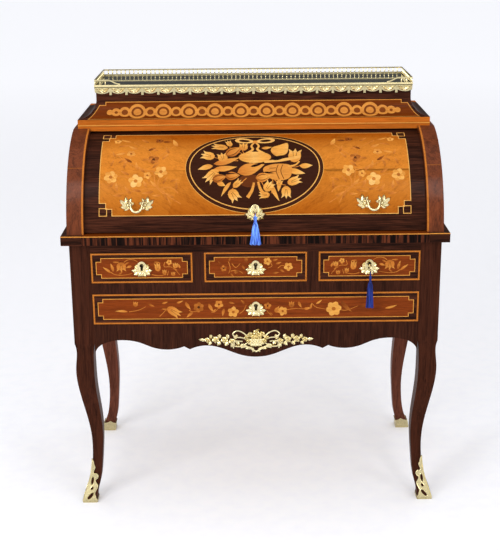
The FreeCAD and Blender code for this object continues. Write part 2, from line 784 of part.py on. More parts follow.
def handle(centre_x):
    face_y = axis_y - fall_r
    bar_y = face_y - handle_reach
    foot_z = axis_z + handle_rise
    radius = handle_span / 2
    start = V(centre_x + radius, bar_y, foot_z)
    ring = Part.Face(Part.Wire(Part.makeCircle(handle_bar_r, start, V(0, 0, 1))))
    pieces = []
    for foot_x in (centre_x - radius, centre_x + radius):
        pieces.append(rod(handle_foot_r, V(foot_x, face_y + overrun, foot_z),
                          V(foot_x, face_y - handle_foot_t, foot_z)))
        pieces.append(rod(handle_bar_r, V(foot_x, face_y, foot_z), V(foot_x, bar_y, foot_z)))
        pieces.append(Part.makeSphere(handle_bar_r, V(foot_x, bar_y, foot_z)))
    bail = ring.revolve(V(centre_x, bar_y, foot_z), V(0, 1, 0), 180)
    return on_fall(bail.fuse(pieces), handle_deg).cut(cylinder_core())


def fall_lock():
    case = fall_lock_box(0).cut(fall_bolt_bar(gap, bolt_throw))
    front_y = axis_y - fall_in_r - fall_lock_let_in
    stem = rod(key_r + gap, V(0, front_y - overrun, axis_z), V(0, front_y + key_seat + gap, axis_z))
    return on_fall(case.cut(stem), fall_key_deg)


def fall_escutcheon():
    plate = on_fall(escutcheon(0, axis_z, axis_y - fall_r, overrun), fall_escutcheon_deg)
    hole = keyhole(0, axis_z, axis_y - fall_r - escutcheon_t - overrun, axis_y - fall_in_r)
    return plate.cut(cylinder_core()).cut(on_fall(hole, fall_key_deg))


def fall_tassel():
    ring = on_fall(loop_ring(0, axis_y - fall_loop_r, axis_z), fall_key_deg)
    low = on_fall(Part.Vertex(V(0, axis_y - fall_loop_r, axis_z - loop_drop())), fall_key_deg).Point
    return tassel(0, low.y, low.z, fall_tassel_cord_l, fall_tassel_l, fall_tassel_r).fuse(ring)


def fall():
    inner_y = axis_y - fall_in_r - fall_lock_let_in + key_seat
    return {
        "cylinder_fall": cylinder_fall(),
        "fall_guide_pins": guide_pins(),
        "fall_handle_left": handle(-handle_x),
        "fall_handle_right": handle(handle_x),
        "fall_escutcheon": fall_escutcheon(),
        "fall_lock": fall_lock(),
        "fall_bolt": on_fall(fall_bolt_bar(0, 0), fall_key_deg),
        "fall_key": on_fall(key(0, axis_z, axis_y - fall_r, inner_y, fall_key_reach), fall_key_deg),
        "fall_tassel": fall_tassel(),
    }


# Fitted nest
def nest_boards():
    in_x = half_nest - nest_board_t
    low_in_y = nest_low_back_y - nest_board_t
    high_in_y = nest_high_back_y - nest_board_t
    floor_z = ledge_top_z + nest_board_t
    shelf_low_z = nest_shelf_z - nest_board_t
    top_low_z = nest_top_z - nest_board_t
    boards = [
        box(-in_x, in_x, nest_front_y, low_in_y, ledge_top_z, floor_z),
        box(-in_x, in_x, nest_front_y, low_in_y, shelf_low_z, nest_shelf_z),
        box(-in_x, in_x, low_in_y, nest_low_back_y, ledge_top_z, nest_shelf_z),
        box(-in_x, in_x, nest_front_y, high_in_y, top_low_z, nest_top_z),
        box(-in_x, in_x, high_in_y, nest_high_back_y, nest_shelf_z, nest_top_z),
    ]
    for x0, x1 in ((in_x, half_nest), (-half_nest, -in_x)):
        boards.append(box(x0, x1, nest_front_y, nest_low_back_y, ledge_top_z, nest_shelf_z))
        boards.append(box(x0, x1, nest_front_y, nest_high_back_y, nest_shelf_z, nest_top_z))
    for x0 in nest_uprights(nest_drawer_count):
        boards.append(box(x0, x0 + nest_board_t, nest_front_y, low_in_y, floor_z, shelf_low_z))
    for x0 in nest_uprights(nest_hole_count):
        boards.append(box(x0, x0 + nest_board_t, nest_front_y, high_in_y, nest_shelf_z, top_low_z))
    return Part.makeCompound(boards)


def nest_space(count):
    return (half_nest + half_nest - nest_board_t * (count + 1)) / count


def nest_uprights(count):
    step = nest_space(count) + nest_board_t
    return [-half_nest + step * index for index in range(1, count)]


def nest_drawer(index):
    space = nest_space(nest_drawer_count)
    left = -half_nest + nest_board_t + (space + nest_board_t) * index + reveal
    right = left + space - reveal - reveal
    low_z = ledge_top_z + nest_board_t + gap
    high_z = nest_shelf_z - nest_board_t - reveal
    back_y = nest_low_back_y - nest_board_t - reveal
    front_in_y = nest_front_y + nest_board_t
    wall = drawer_bottom_t
    knob_x = (left + right) / 2
    knob_z = (low_z + high_z) / 2
    neck = rod(nest_knob_neck_r, V(knob_x, nest_front_y, knob_z),
               V(knob_x, nest_front_y - nest_knob_l, knob_z))
    ball = Part.makeSphere(nest_knob_r, V(knob_x, nest_front_y - nest_knob_l, knob_z))
    return Part.makeCompound([
        box(left, right, nest_front_y, front_in_y, low_z, high_z),
        box(left, left + wall, front_in_y, back_y, low_z, high_z),
        box(right - wall, right, front_in_y, back_y, low_z, high_z),
        box(left + wall, right - wall, back_y - wall, back_y, low_z, high_z),
        box(left + wall, right - wall, front_in_y, back_y - wall, low_z, low_z + wall),
        neck.fuse(ball),
    ])


def nest():
    pieces = {"nest_case": nest_boards()}
    for index in range(nest_drawer_count):
        pieces["nest_drawer_" + str(index + 1)] = nest_drawer(index)
    return pieces


def main():
    os.makedirs("parts", exist_ok=True)
    pieces = {"apron_mount": apron_mount()}
    for group in (legs, lower_case, desk_top, drawers, upper_case, gallery, fall, nest):
        pieces.update(group())
    for name, shape in pieces.items():
        shape.exportStep("parts/" + name + ".step")
        print(name, len(shape.Solids), round(shape.Volume), shape.isValid())
    print(len(pieces), "pieces")


main()
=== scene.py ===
import json
import math
import random

import bmesh
import bpy
from mathutils import Matrix, Vector
from mathutils.bvhtree import BVHTree


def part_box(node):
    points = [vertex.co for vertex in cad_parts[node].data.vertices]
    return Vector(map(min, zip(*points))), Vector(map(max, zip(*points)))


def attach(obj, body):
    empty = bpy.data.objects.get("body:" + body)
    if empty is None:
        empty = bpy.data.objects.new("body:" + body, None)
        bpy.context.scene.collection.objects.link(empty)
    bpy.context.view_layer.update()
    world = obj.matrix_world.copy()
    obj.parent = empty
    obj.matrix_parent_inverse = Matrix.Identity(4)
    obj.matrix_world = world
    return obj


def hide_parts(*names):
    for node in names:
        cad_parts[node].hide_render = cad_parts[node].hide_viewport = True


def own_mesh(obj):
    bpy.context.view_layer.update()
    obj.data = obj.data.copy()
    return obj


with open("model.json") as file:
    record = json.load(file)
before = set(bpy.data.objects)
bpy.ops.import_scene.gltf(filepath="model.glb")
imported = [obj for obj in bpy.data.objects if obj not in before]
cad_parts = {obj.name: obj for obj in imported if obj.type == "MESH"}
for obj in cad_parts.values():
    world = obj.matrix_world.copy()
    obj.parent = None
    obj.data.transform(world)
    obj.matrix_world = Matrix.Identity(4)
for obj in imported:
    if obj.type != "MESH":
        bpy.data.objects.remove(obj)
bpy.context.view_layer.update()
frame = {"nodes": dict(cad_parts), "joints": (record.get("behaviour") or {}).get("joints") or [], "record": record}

bl_info = {
    "name": "Cylinder desk",
    "version": (1, 0, 0),
    "blender": (4, 5, 0),
    "location": "View3D > Sidebar > Desk",
    "description": "Veneers, marquetry, gilt mounts, tassels and stage for the cylinder desk",
    "category": "Object",
}

# Lengths in this script are millimetres until a mesh is written
MM = 0.001
NODES = frame["nodes"]
SEED = 7
# Points nearer than this are one point, and edges that turn more than this stay sharp
MERGE = 0.002
SHARP_DEG = 40
# Tone of a piece that is all of one wood or metal
PLAIN_TONE = 0.5
# Filled by the finishes operator
FINISHES = {}


def node_box(name):
    low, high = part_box(name)
    return Vector(low) / MM, Vector(high) / MM


def node_points(name):
    return [v.co / MM for v in NODES[name].data.vertices]


def corners(points):
    """Lowest and highest corner of some points."""
    return tuple(Vector([end(p[i] for p in points) for i in range(3)]) for end in (min, max))


def joint(name):
    return next(j for j in frame["joints"] if j["name"] == name)


# Places read from the frame
AXIS_Y, AXIS_Z = (part / MM for part in joint("fall_roll")["pos_m"][1:])
FALL_R = max(math.hypot(p.y - AXIS_Y, p.z - AXIS_Z) for p in node_points("cylinder_fall"))
HALF_FALL = node_box("cylinder_fall")[1].x
KEY_AXIS = Vector(joint("fall_key_turn")["axis"])
KEY_ANGLE = math.atan2(KEY_AXIS.z, -KEY_AXIS.y)


# Small tools for nodes, colours and meshes
def add(tree, kind, settings=None, links=None):
    """Add one node, set its properties, ramp stops and sockets, and link sockets to others."""
    node = tree.nodes.new(kind)
    for key, value in (settings or {}).items():
        if key == "stops":
            elements = node.color_ramp.elements
            while len(elements) < len(value):
                elements.new(1.0)
            for element, (place, colour) in zip(elements, value):
                element.position = place
                element.color = colour
        elif isinstance(key, str) and hasattr(node, key):
            setattr(node, key, value)
        else:
            node.inputs[key].default_value = value
    for key, source in (links or {}).items():
        tree.links.new(source, node.inputs[key])
    return node


def linear(hex_colour):
    """An sRGB hex colour as linear RGBA."""
    parts = [int(hex_colour[i:i + 2], 16) / 255 for i in (1, 3, 5)]
    return (*(p / 12.92 if p <= 0.04045 else ((p + 0.055) / 1.055) ** 2.4 for p in parts), 1.0)


def new_piece(name, mesh, look, body):
    """A mesh as a piece in one finish, riding on a body."""
    mesh.materials.clear()
    mesh.materials.append(FINISHES[look])
    piece = bpy.data.objects.new(name, mesh)
    bpy.context.scene.collection.objects.link(piece)
    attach(piece, body)
    return piece


def tidy(mesh):
    """Merge doubles, turn normals out, and smooth all but the sharp edges."""
    work = bmesh.new()
    work.from_mesh(mesh)
    bmesh.ops.remove_doubles(work, verts=work.verts, dist=MERGE * MM)
    bmesh.ops.recalc_face_normals(work, faces=work.faces)
    work.to_mesh(mesh)
    work.free()
    mesh.validate()
    soften(mesh)


def soften(mesh):
    mesh.polygons.foreach_set("use_smooth", [True] * len(mesh.polygons))
    mesh.set_sharp_from_angle(angle=math.radians(SHARP_DEG))


class Build:
    """Points and faces of one mesh, gathered from many small solids."""

    def __init__(self):
        self.points = []
        self.faces = []
        self.tones = []

    def put(self, points, faces, tone=PLAIN_TONE):
        """Add a solid; its tone is one number or one for each point."""
        start = len(self.points)
        self.points += [Vector(p) for p in points]
        self.faces += [[start + i for i in face] for face in faces]
        self.tones += tone if isinstance(tone, list) else [tone] * len(points)

    def loft(self, rings, tone=PLAIN_TONE, closed=False):
        """Add a solid through rings of points, capped at both ends or closed on itself."""
        count = len(rings[0])
        last = len(rings) - 1
        faces = []
        for i in range(last + closed):
            j = (i + 1) % len(rings)
            for k in range(count):
                n = (k + 1) % count
                faces.append([count * i + k, count * i + n, count * j + n, count * j + k])
        if not closed:
            faces += [list(range(count)), list(range(count * last, count * (last + 1)))]
        self.put([p for ring in rings for p in ring], faces, tone)

    def mesh(self, name):
        mesh = bpy.data.meshes.new(name)
        mesh.from_pydata([p * MM for p in self.points], [], self.faces)
        tone = mesh.attributes.new("tone", "FLOAT", "POINT")
        tone.data.foreach_set("value", self.tones)
        tidy(mesh)
        return mesh

    def piece(self, name, look, body, slot):
        return new_piece(name, self.mesh(name), look, body)


# Outlines on a flat (u, v) sheet
def ring_points(count):
    return [2 * math.pi * i / count for i in range(count)]


def ellipse(cu, cv, ru, rv, count=48):
    return [(cu + ru * math.cos(a), cv + rv * math.sin(a)) for a in ring_points(count)]


def rectangle(u0, u1, v0, v1):
    return [(u0, v0), (u1, v0), (u1, v1), (u0, v1)]


def turned(points, angle, cu=0.0, cv=0.0):
    c, s = math.cos(angle), math.sin(angle)
    return [(cu + u * c - v * s, cv + u * s + v * c) for u, v in points]


def leaf_outline(length, width, bend, steps=9):
    """A pointed leaf along +u from the origin; bend swings its tip sideways."""
    upper, lower = [], []
    for i in range(steps + 1):
        t = i / steps
        swell = math.sin(math.pi * t ** 0.75) * width / 2
        drift = bend * length * t * t
        upper.append((t * length, drift + swell))
        lower.append((t * length, drift - swell))
    return lower + upper[-2:0:-1]


# Half of a bud's outline, as shares of its length and width
BUD_SHARES = ((0.04, 0.2), (0.2, 0.42), (0.45, 0.48), (0.7, 0.42), (0.94, 0.5), (0.74, 0.15))


def bud_outline(length, width):
    """A half-open bud along +u from the origin: round at its base, with three points at its tip."""
    side = [(along * length, across * width) for along, across in BUD_SHARES]
    return [(0, 0)] + side + [(length, 0)] + [(u, -v) for u, v in reversed(side)]


def petal_outline(length, width, steps=8):
    """A round-ended petal along +u from the origin."""
    side = [(length * t, width / 2 * math.sin(math.pi * min(1.0, t * 0.92 + 0.04)) ** 0.6)
            for t in [i / steps for i in range(steps + 1)]]
    return side + [(u, -v) for u, v in reversed(side)]


def spline(p0, p1, p2, p3, steps):
    """Points of a Catmull-Rom curve from p1 on towards p2."""
    return [0.5 * (2 * p1 + (p2 - p0) * t + (2 * p0 - 5 * p1 + 4 * p2 - p3) * t * t
                   + (3 * p1 - p0 - 3 * p2 + p3) * t ** 3) for t in [k / steps for k in range(steps)]]


def smooth_path(points, steps):
    """An open curve through the given points."""
    last = len(points) - 1
    out = []
    for i in range(last):
        out += spline(points[max(i - 1, 0)], points[i], points[i + 1], points[min(i + 2, last)], steps)
    return out + [points[-1]]


def round_off(ring, steps=5):
    """A closed smooth outline through a ring of points."""
    points = [Vector((*p, 0)) for p in ring]
    out = []
    for i in range(len(points)):
        out += spline(*(points[(i + k) % len(points)] for k in (-1, 0, 1, 2)), steps)
    return [(p.x, p.y) for p in out]


def stem_outline(points, start_w, end_w):
    """A tapering stem along a smooth path through a few points."""
    path = smooth_path([Vector((*p, 0)) for p in points], 6)
    left, right = [], []
    for i, p in enumerate(path):
        ahead = path[min(i + 1, len(path) - 1)] - path[max(i - 1, 0)]
        side = Vector((-ahead.y, ahead.x, 0)).normalized()
        half = (start_w + (end_w - start_w) * i / (len(path) - 1)) / 2
        left.append((p + side * half)[:2])
        right.append((p - side * half)[:2])
    return left + right[::-1]


def clip(outline, inside):
    """The part of an outline where inside(u, v) is not negative; inside is linear in u and v."""
    out = []
    for (u0, v0), (u1, v1) in zip(outline, outline[1:] + outline[:1]):
        a, b = inside(u0, v0), inside(u1, v1)
        if a >= 0:
            out.append((u0, v0))
        if (a > 0 > b) or (a < 0 < b):
            t = a / (a - b)
            out.append((u0 + (u1 - u0) * t, v0 + (v1 - v0) * t))
    return out


# Surfaces that take inlay: each gives the point at (u, v) and h above the surface
def front_plane(y, level=0.0):
    return lambda u, v, h: Vector((u, y - h, level + v))


def top_plane(z):
    return lambda u, v, h: Vector((u, v, z + h))


def cylinder(radius):
    """Round the fall's axis, with v the arc length from the level of the axis."""
    def place(u, v, h):
        angle = v / radius
        out = radius + h
        return Vector((u, AXIS_Y - out * math.cos(angle), AXIS_Z + out * math.sin(angle)))
    return place


# How far a flower's heart or a bud's cut stands above its petals, and each piece above the last
HEART_RISE = 0.06
LEAF_CLEAR = 0.004
# How much darker a piece is at its base, and a flower at its heart
SCORCH = 0.22
HEART_DARKER = 0.28
CUT_TONE = 0.25
STEM_TONE = 0.62
# Shares of a flower's radius, and how far its petals' tones differ
PETAL_W = 0.86
HEART_R = 0.26
PETAL_DRIFT = 0.06
LEAF_BEND = 0.16
# Each cut of a bud, as shares of its length and width, and the cut's widths
BUD_CUT = ((0.25, 0.06), (0.74, 0.16))
BUD_CUT_W = (0.05, 0.02)


class Inlay(Build):
    """Thin veneer shapes on a surface; on a curved one, no face runs further than step or step_across."""

    def __init__(self, place, step=0.0, step_across=0.0):
        super().__init__()
        self.place = place
        self.steps = (step_across, step)

    def shape(self, loops, high, tone=PLAIN_TONE):
        """A flat shape with holes; its tone is a number or a function of (u, v)."""
        work = bmesh.new()
        edges = []
        for loop in loops:
            ring = [work.verts.new((u, v, 0)) for u, v in loop]
            edges += [work.edges.new((ring[i - 1], ring[i])) for i in range(len(ring))]
        bmesh.ops.triangle_fill(work, edges=edges, use_beauty=True)
        for axis, step in enumerate(self.steps):
            normal = Vector((axis == 0, axis == 1, 0))
            places = [v.co[axis] for v in work.verts]
            cut = math.floor(min(places) / step + 1) * step if step else max(places)
            while cut < max(places):
                bmesh.ops.bisect_plane(work, geom=work.verts[:] + work.edges[:] + work.faces[:],
                                       plane_co=normal * cut, plane_no=normal)
                cut += step
        work.verts.index_update()
        count = len(work.verts)
        points = [self.place(v.co.x, v.co.y, h) for h in (high, 0.0) for v in work.verts]
        tones = [tone(v.co.x, v.co.y) if callable(tone) else tone for v in work.verts]
        faces = []
        for face in work.faces:
            ring = [v.index for v in face.verts]
            faces += [ring, [i + count for i in reversed(ring)]]
        for edge in work.edges:
            if len(edge.link_faces) == 1:
                a, b = (v.index for v in edge.verts)
                faces.append([a, b, b + count, a + count])
        work.free()
        self.put(points, faces, tones + tones)

    def line(self, points, width, high, tone, end_width):
        self.shape([stem_outline(points, width, end_width)], high, tone)

    def flower(self, u, v, radius, high, tone, petals, turn):
        for number, angle in enumerate(ring_points(petals)):
            petal = turned(petal_outline(radius, radius * PETAL_W), angle + turn, u, v)
            self.shape([petal], high + HEART_RISE * number / petals,
                       tone + PETAL_DRIFT * math.sin(3 * angle + turn))
        heart = ellipse(u, v, radius * HEART_R, radius * HEART_R, 14)
        self.shape([heart], high + HEART_RISE, tone - HEART_DARKER)

    def scorched(self, outline, u, v, length, angle, high, tone):
        """A piece that darkens towards its base, as one dipped in hot sand does."""
        def at(pu, pv):
            along = ((pu - u) * math.cos(angle) + (pv - v) * math.sin(angle)) / length
            return tone - SCORCH * max(0.0, 1 - along)
        self.shape([turned(outline, angle, u, v)], high, at)

    def leaf(self, u, v, length, width, angle, high, tone, bend):
        self.scorched(leaf_outline(length, width, bend), u, v, length, angle, high, tone)

    def bud(self, u, v, length, width, angle, high, tone):
        """A half-open bud with two cuts between its petals."""
        self.scorched(bud_outline(length, width), u, v, length, angle, high, tone)
        for side in (-1, 1):
            cut = [(along * length, across * side * width) for along, across in BUD_CUT]
            start_w, end_w = (share * width for share in BUD_CUT_W)
            self.line(turned(cut, angle, u, v), start_w, high + HEART_RISE, CUT_TONE, end_w)

    def plant(self, place, side, first, stem, dim, stems, leaves, buds, flowers):
        """Stems, leaves, buds and flowers round a place, each clear of the last.

        Side -1 mirrors them, and dim is how much darker they are than their tones say.
        """
        cu, cv = place
        for points in stems:
            self.line([(cu + side * u, cv + v) for u, v in points], stem, first, STEM_TONE, stem / 2)
        for number, (u, v, length, width, degrees, tone) in enumerate(leaves + buds):
            angle = math.radians(degrees if side > 0 else 180 - degrees)
            shape = (cu + side * u, cv + v, length, width, angle, first + LEAF_CLEAR * (number + 2),
                     tone - dim)
            if number < len(leaves):
                self.leaf(*shape, LEAF_BEND * side)
            else:
                self.bud(*shape)
        high = first + LEAF_CLEAR * (len(leaves + buds) + 3)
        for u, v, radius, tone, petals in flowers:
            self.flower(cu + side * u, cv + v, radius, high, tone - dim, petals, radius)


# Finishes
def blank(name):
    """A new material with an empty tree."""
    material = bpy.data.materials.new(name)
    material.use_nodes = True
    material.node_tree.nodes.clear()
    return material, material.node_tree


def surface(tree, values, links):
    """End a material's tree with one principled shader, its plain values and what is linked to it."""
    body = add(tree, "ShaderNodeBsdfPrincipled", values, links)
    add(tree, "ShaderNodeOutputMaterial", None, {"Surface": body.outputs["BSDF"]})


def in_sizes(tree, sizes, feather=0.0):
    """Object space in which each axis counts pattern sizes, given in millimetres.

    A feathered one is mirrored about the middle and slants, as veneer leaves opened like a book do.
    """
    space = add(tree, "ShaderNodeTexCoord").outputs["Object"]
    if feather:
        folded = add(tree, "ShaderNodeVectorMath", {"operation": "ABSOLUTE"}, {0: space})
        slanted = add(tree, "ShaderNodeMapping", {"Rotation": (0, feather, 0)}, {"Vector": folded.outputs[0]})
        space = slanted.outputs[0]
    scale = [1 / (size * MM) for size in sizes]
    return add(tree, "ShaderNodeMapping", {"Scale": scale}, {"Vector": space}).outputs[0]


def stops(*pairs):
    return [(place, linear(colour)) for place, colour in pairs]


SHADE = stops((0.28, "#b09c8e"), (0.46, "#e8e0d8"), (0.68, "#ffffff"))


def veneer(name, colours, across, along, stretch, roughness=0.28, polish=0.025, toned=False, figure=0.45,
           feather=0.0):
    """Polished veneer: grain of a real width across, in millimetres, drawn out along one axis.

    A toned one takes its colour from each inlaid piece's tone, and the grain only shades it.
    """
    material, tree = blank(name)
    sizes = [across] * 3
    sizes["XYZ".index(along)] *= stretch
    grain = add(tree, "ShaderNodeTexNoise", {"Scale": 1.0, "Detail": 5.0, "Distortion": 0.7},
                {"Vector": in_sizes(tree, sizes, feather)})
    broad = add(tree, "ShaderNodeTexNoise", {"Scale": 1.0, "Detail": 2.0, "Distortion": 1.6},
                {"Vector": in_sizes(tree, [size * 8 for size in sizes], feather)})
    mixed = add(tree, "ShaderNodeMix", {"data_type": "FLOAT", "Factor": figure},
                {2: grain.outputs["Fac"], 3: broad.outputs["Fac"]})
    shade = add(tree, "ShaderNodeValToRGB", {"stops": SHADE if toned else colours}, {"Fac": mixed.outputs[0]})
    colour = shade.outputs["Color"]
    if toned:
        tone = add(tree, "ShaderNodeAttribute", {"attribute_name": "tone"})
        wood = add(tree, "ShaderNodeValToRGB", {"stops": colours}, {"Fac": tone.outputs["Fac"]})
        colour = add(tree, "ShaderNodeMix", {"data_type": "RGBA", "blend_type": "MULTIPLY", "Factor": 0.8},
                     {6: wood.outputs["Color"], 7: colour}).outputs[2]
    bump = add(tree, "ShaderNodeBump", {"Strength": 0.1, "Distance": 0.1 * MM},
               {"Height": grain.outputs["Fac"]})
    surface(tree, {"Roughness": roughness, "Specular IOR Level": polish, "Coat Weight": polish,
                   "Coat Roughness": 0.12}, {"Base Color": colour, "Normal": bump.outputs["Normal"]})
    return material


def metal(name, colours, patch, roughness, drawn=1.0):
    """Metal whose colour and polish drift over patches of a real size, drawn out sideways if brushed."""
    material, tree = blank(name)
    drift = add(tree, "ShaderNodeTexNoise", {"Scale": 1.0, "Detail": 5.0, "Distortion": 0.3},
                {"Vector": in_sizes(tree, (patch * drawn, patch, patch))}).outputs["Fac"]
    colour = add(tree, "ShaderNodeValToRGB", {"stops": colours}, {"Fac": drift})
    polish = add(tree, "ShaderNodeMapRange", {"To Min": roughness * 0.7, "To Max": roughness * 1.3},
                 {"Value": drift})
    bump = add(tree, "ShaderNodeBump", {"Strength": 0.2, "Distance": 0.1 * MM}, {"Height": drift})
    surface(tree, {"Metallic": 1.0}, {"Base Color": colour.outputs["Color"],
                                      "Roughness": polish.outputs["Result"],
                                      "Normal": bump.outputs["Normal"]})
    return material


def marble(name, colours, cloud):
    """Polished marble: clouds of a real size, with veins that wander through them."""
    material, tree = blank(name)
    clouds = add(tree, "ShaderNodeTexNoise",
                 {"Scale": 1.0, "Detail": 8.0, "Distortion": 1.8, "Roughness": 0.68},
                 {"Vector": in_sizes(tree, [cloud] * 3)})
    veins = add(tree, "ShaderNodeTexWave", {"Scale": 1.0, "Distortion": 14.0, "Detail": 5.0},
                {"Vector": in_sizes(tree, [cloud * 3] * 3)})
    mixed = add(tree, "ShaderNodeMix", {"data_type": "FLOAT", "Factor": 0.12},
                {2: clouds.outputs["Fac"], 3: veins.outputs["Fac"]})
    colour = add(tree, "ShaderNodeValToRGB", {"stops": colours}, {"Fac": mixed.outputs[0]})
    surface(tree, {"Roughness": 0.04, "Specular IOR Level": 0.5}, {"Base Color": colour.outputs["Color"]})
    return material


def skiver(name, colours, pebble):
    """Split sheepskin, dyed and rolled, with a pebbled grain of a real size."""
    material, tree = blank(name)
    cells = add(tree, "ShaderNodeTexVoronoi", {"Scale": 1.0}, {"Vector": in_sizes(tree, [pebble] * 3)})
    shade = add(tree, "ShaderNodeTexNoise", {"Scale": 1.0, "Detail": 4.0},
                {"Vector": in_sizes(tree, [pebble * 30] * 3)})
    colour = add(tree, "ShaderNodeValToRGB", {"stops": colours}, {"Fac": shade.outputs["Fac"]})
    bump = add(tree, "ShaderNodeBump", {"Strength": 0.5, "Distance": 0.15 * MM},
               {"Height": cells.outputs["Distance"]})
    surface(tree, {"Roughness": 0.5},
            {"Base Color": colour.outputs["Color"], "Normal": bump.outputs["Normal"]})
    return material


def silk(name, colours, thread):
    """Spun silk: streaks a thread wide down the hang, with a soft sheen."""
    material, tree = blank(name)
    streak = add(tree, "ShaderNodeTexNoise", {"Scale": 1.0, "Detail": 3.0},
                 {"Vector": in_sizes(tree, (thread, thread, thread * 30))})
    colour = add(tree, "ShaderNodeValToRGB", {"stops": colours}, {"Fac": streak.outputs["Fac"]})
    surface(tree, {"Roughness": 0.5, "Specular IOR Level": 0.2, "Sheen Weight": 0.5, "Sheen Roughness": 0.35,
                   "Sheen Tint": colours[-1][1]}, {"Base Color": colour.outputs["Color"]})
    return material


def shades(colour, *pairs):
    """Ramp stops that darken or lighten one colour."""
    return [(place, (*(min(1.0, part * share) for part in colour[:3]), 1.0)) for place, share in pairs]


# What a user would change
def colour_property(name, description, hex_colour):
    return bpy.props.FloatVectorProperty(name=name, description=description, subtype="COLOR", size=4,
                                         min=0.0, max=1.0, default=linear(hex_colour))


def length_property(name, description, millimetres):
    return bpy.props.FloatProperty(name=name, description=description, unit="LENGTH", precision=4,
                                   min=0.0, default=millimetres * MM)


class DeskColours(bpy.types.PropertyGroup):
    rosewood: colour_property("Rosewood", "Dark veneer of the case and the surrounds", "#3a1d12")
    # The cheeks' redder rosewood, made paler than the wood is to carry painted sheen
    cheek_rosewood_and_sheen: colour_property("Cheek wood", "Redder rosewood of the two cheeks", "#6a341b")
    leg_wood: colour_property("Leg wood", "Rosewood of the front legs and posts", "#402014")
    # The rear legs' rosewood, made paler as painted light where the lamps fall on their faces; the side panels
    # share it
    lit_back_leg_wood: colour_property("Rear leg wood", "Paler rosewood of the rear legs", "#64382a")
    satinwood: colour_property("Satinwood", "Orange veneer of the cornice", "#c4691f")
    panel_wood: colour_property("Panel wood", "Veneer of the fall's panel", "#cd7e29")
    panel_shade: colour_property("Panel shade", "The same veneer, darker at the panel's edges", "#a8560c")
    frieze_wood: colour_property("Frieze wood", "Reddish veneer of the coved frieze", "#6b2f09")
    tulipwood: colour_property("Tulipwood", "Reddish veneer of the drawer panels", "#7d3711")
    oak: colour_property("Oak", "Drawer sides, backs and boards", "#b48a58")
    gilt: colour_property("Gilt brass", "Cast mounts, handles and gallery", "#dfd0a0")
    steel: colour_property("Steel", "Lock bolts", "#b6b8ba")
    stone: colour_property("Marble", "Slab under the gallery", "#26281a")
    hide: colour_property("Skiver", "Leather of the writing slide", "#2f4a33")
    pale_silk: colour_property("Pale silk", "Tassel on the fall's key", "#648eff")
    royal_silk: colour_property("Royal silk", "Tassel on the drawer's key", "#1a2a72")


class DeskSizes(bpy.types.PropertyGroup):
    string_w: length_property("Stringing", "Width of the pale lines round a panel", 1.7)
    layer_h: length_property("Veneer step", "Height that each layer of inlay stands above the last", 0.06)
    bead_w: length_property("Cockbead", "Width of the bead round a drawer front", 4.0)
    thread_r: length_property("Silk thread", "Radius of one drawn strand of a tassel", 0.55)


def sizes():
    return bpy.context.scene.desk_sizes


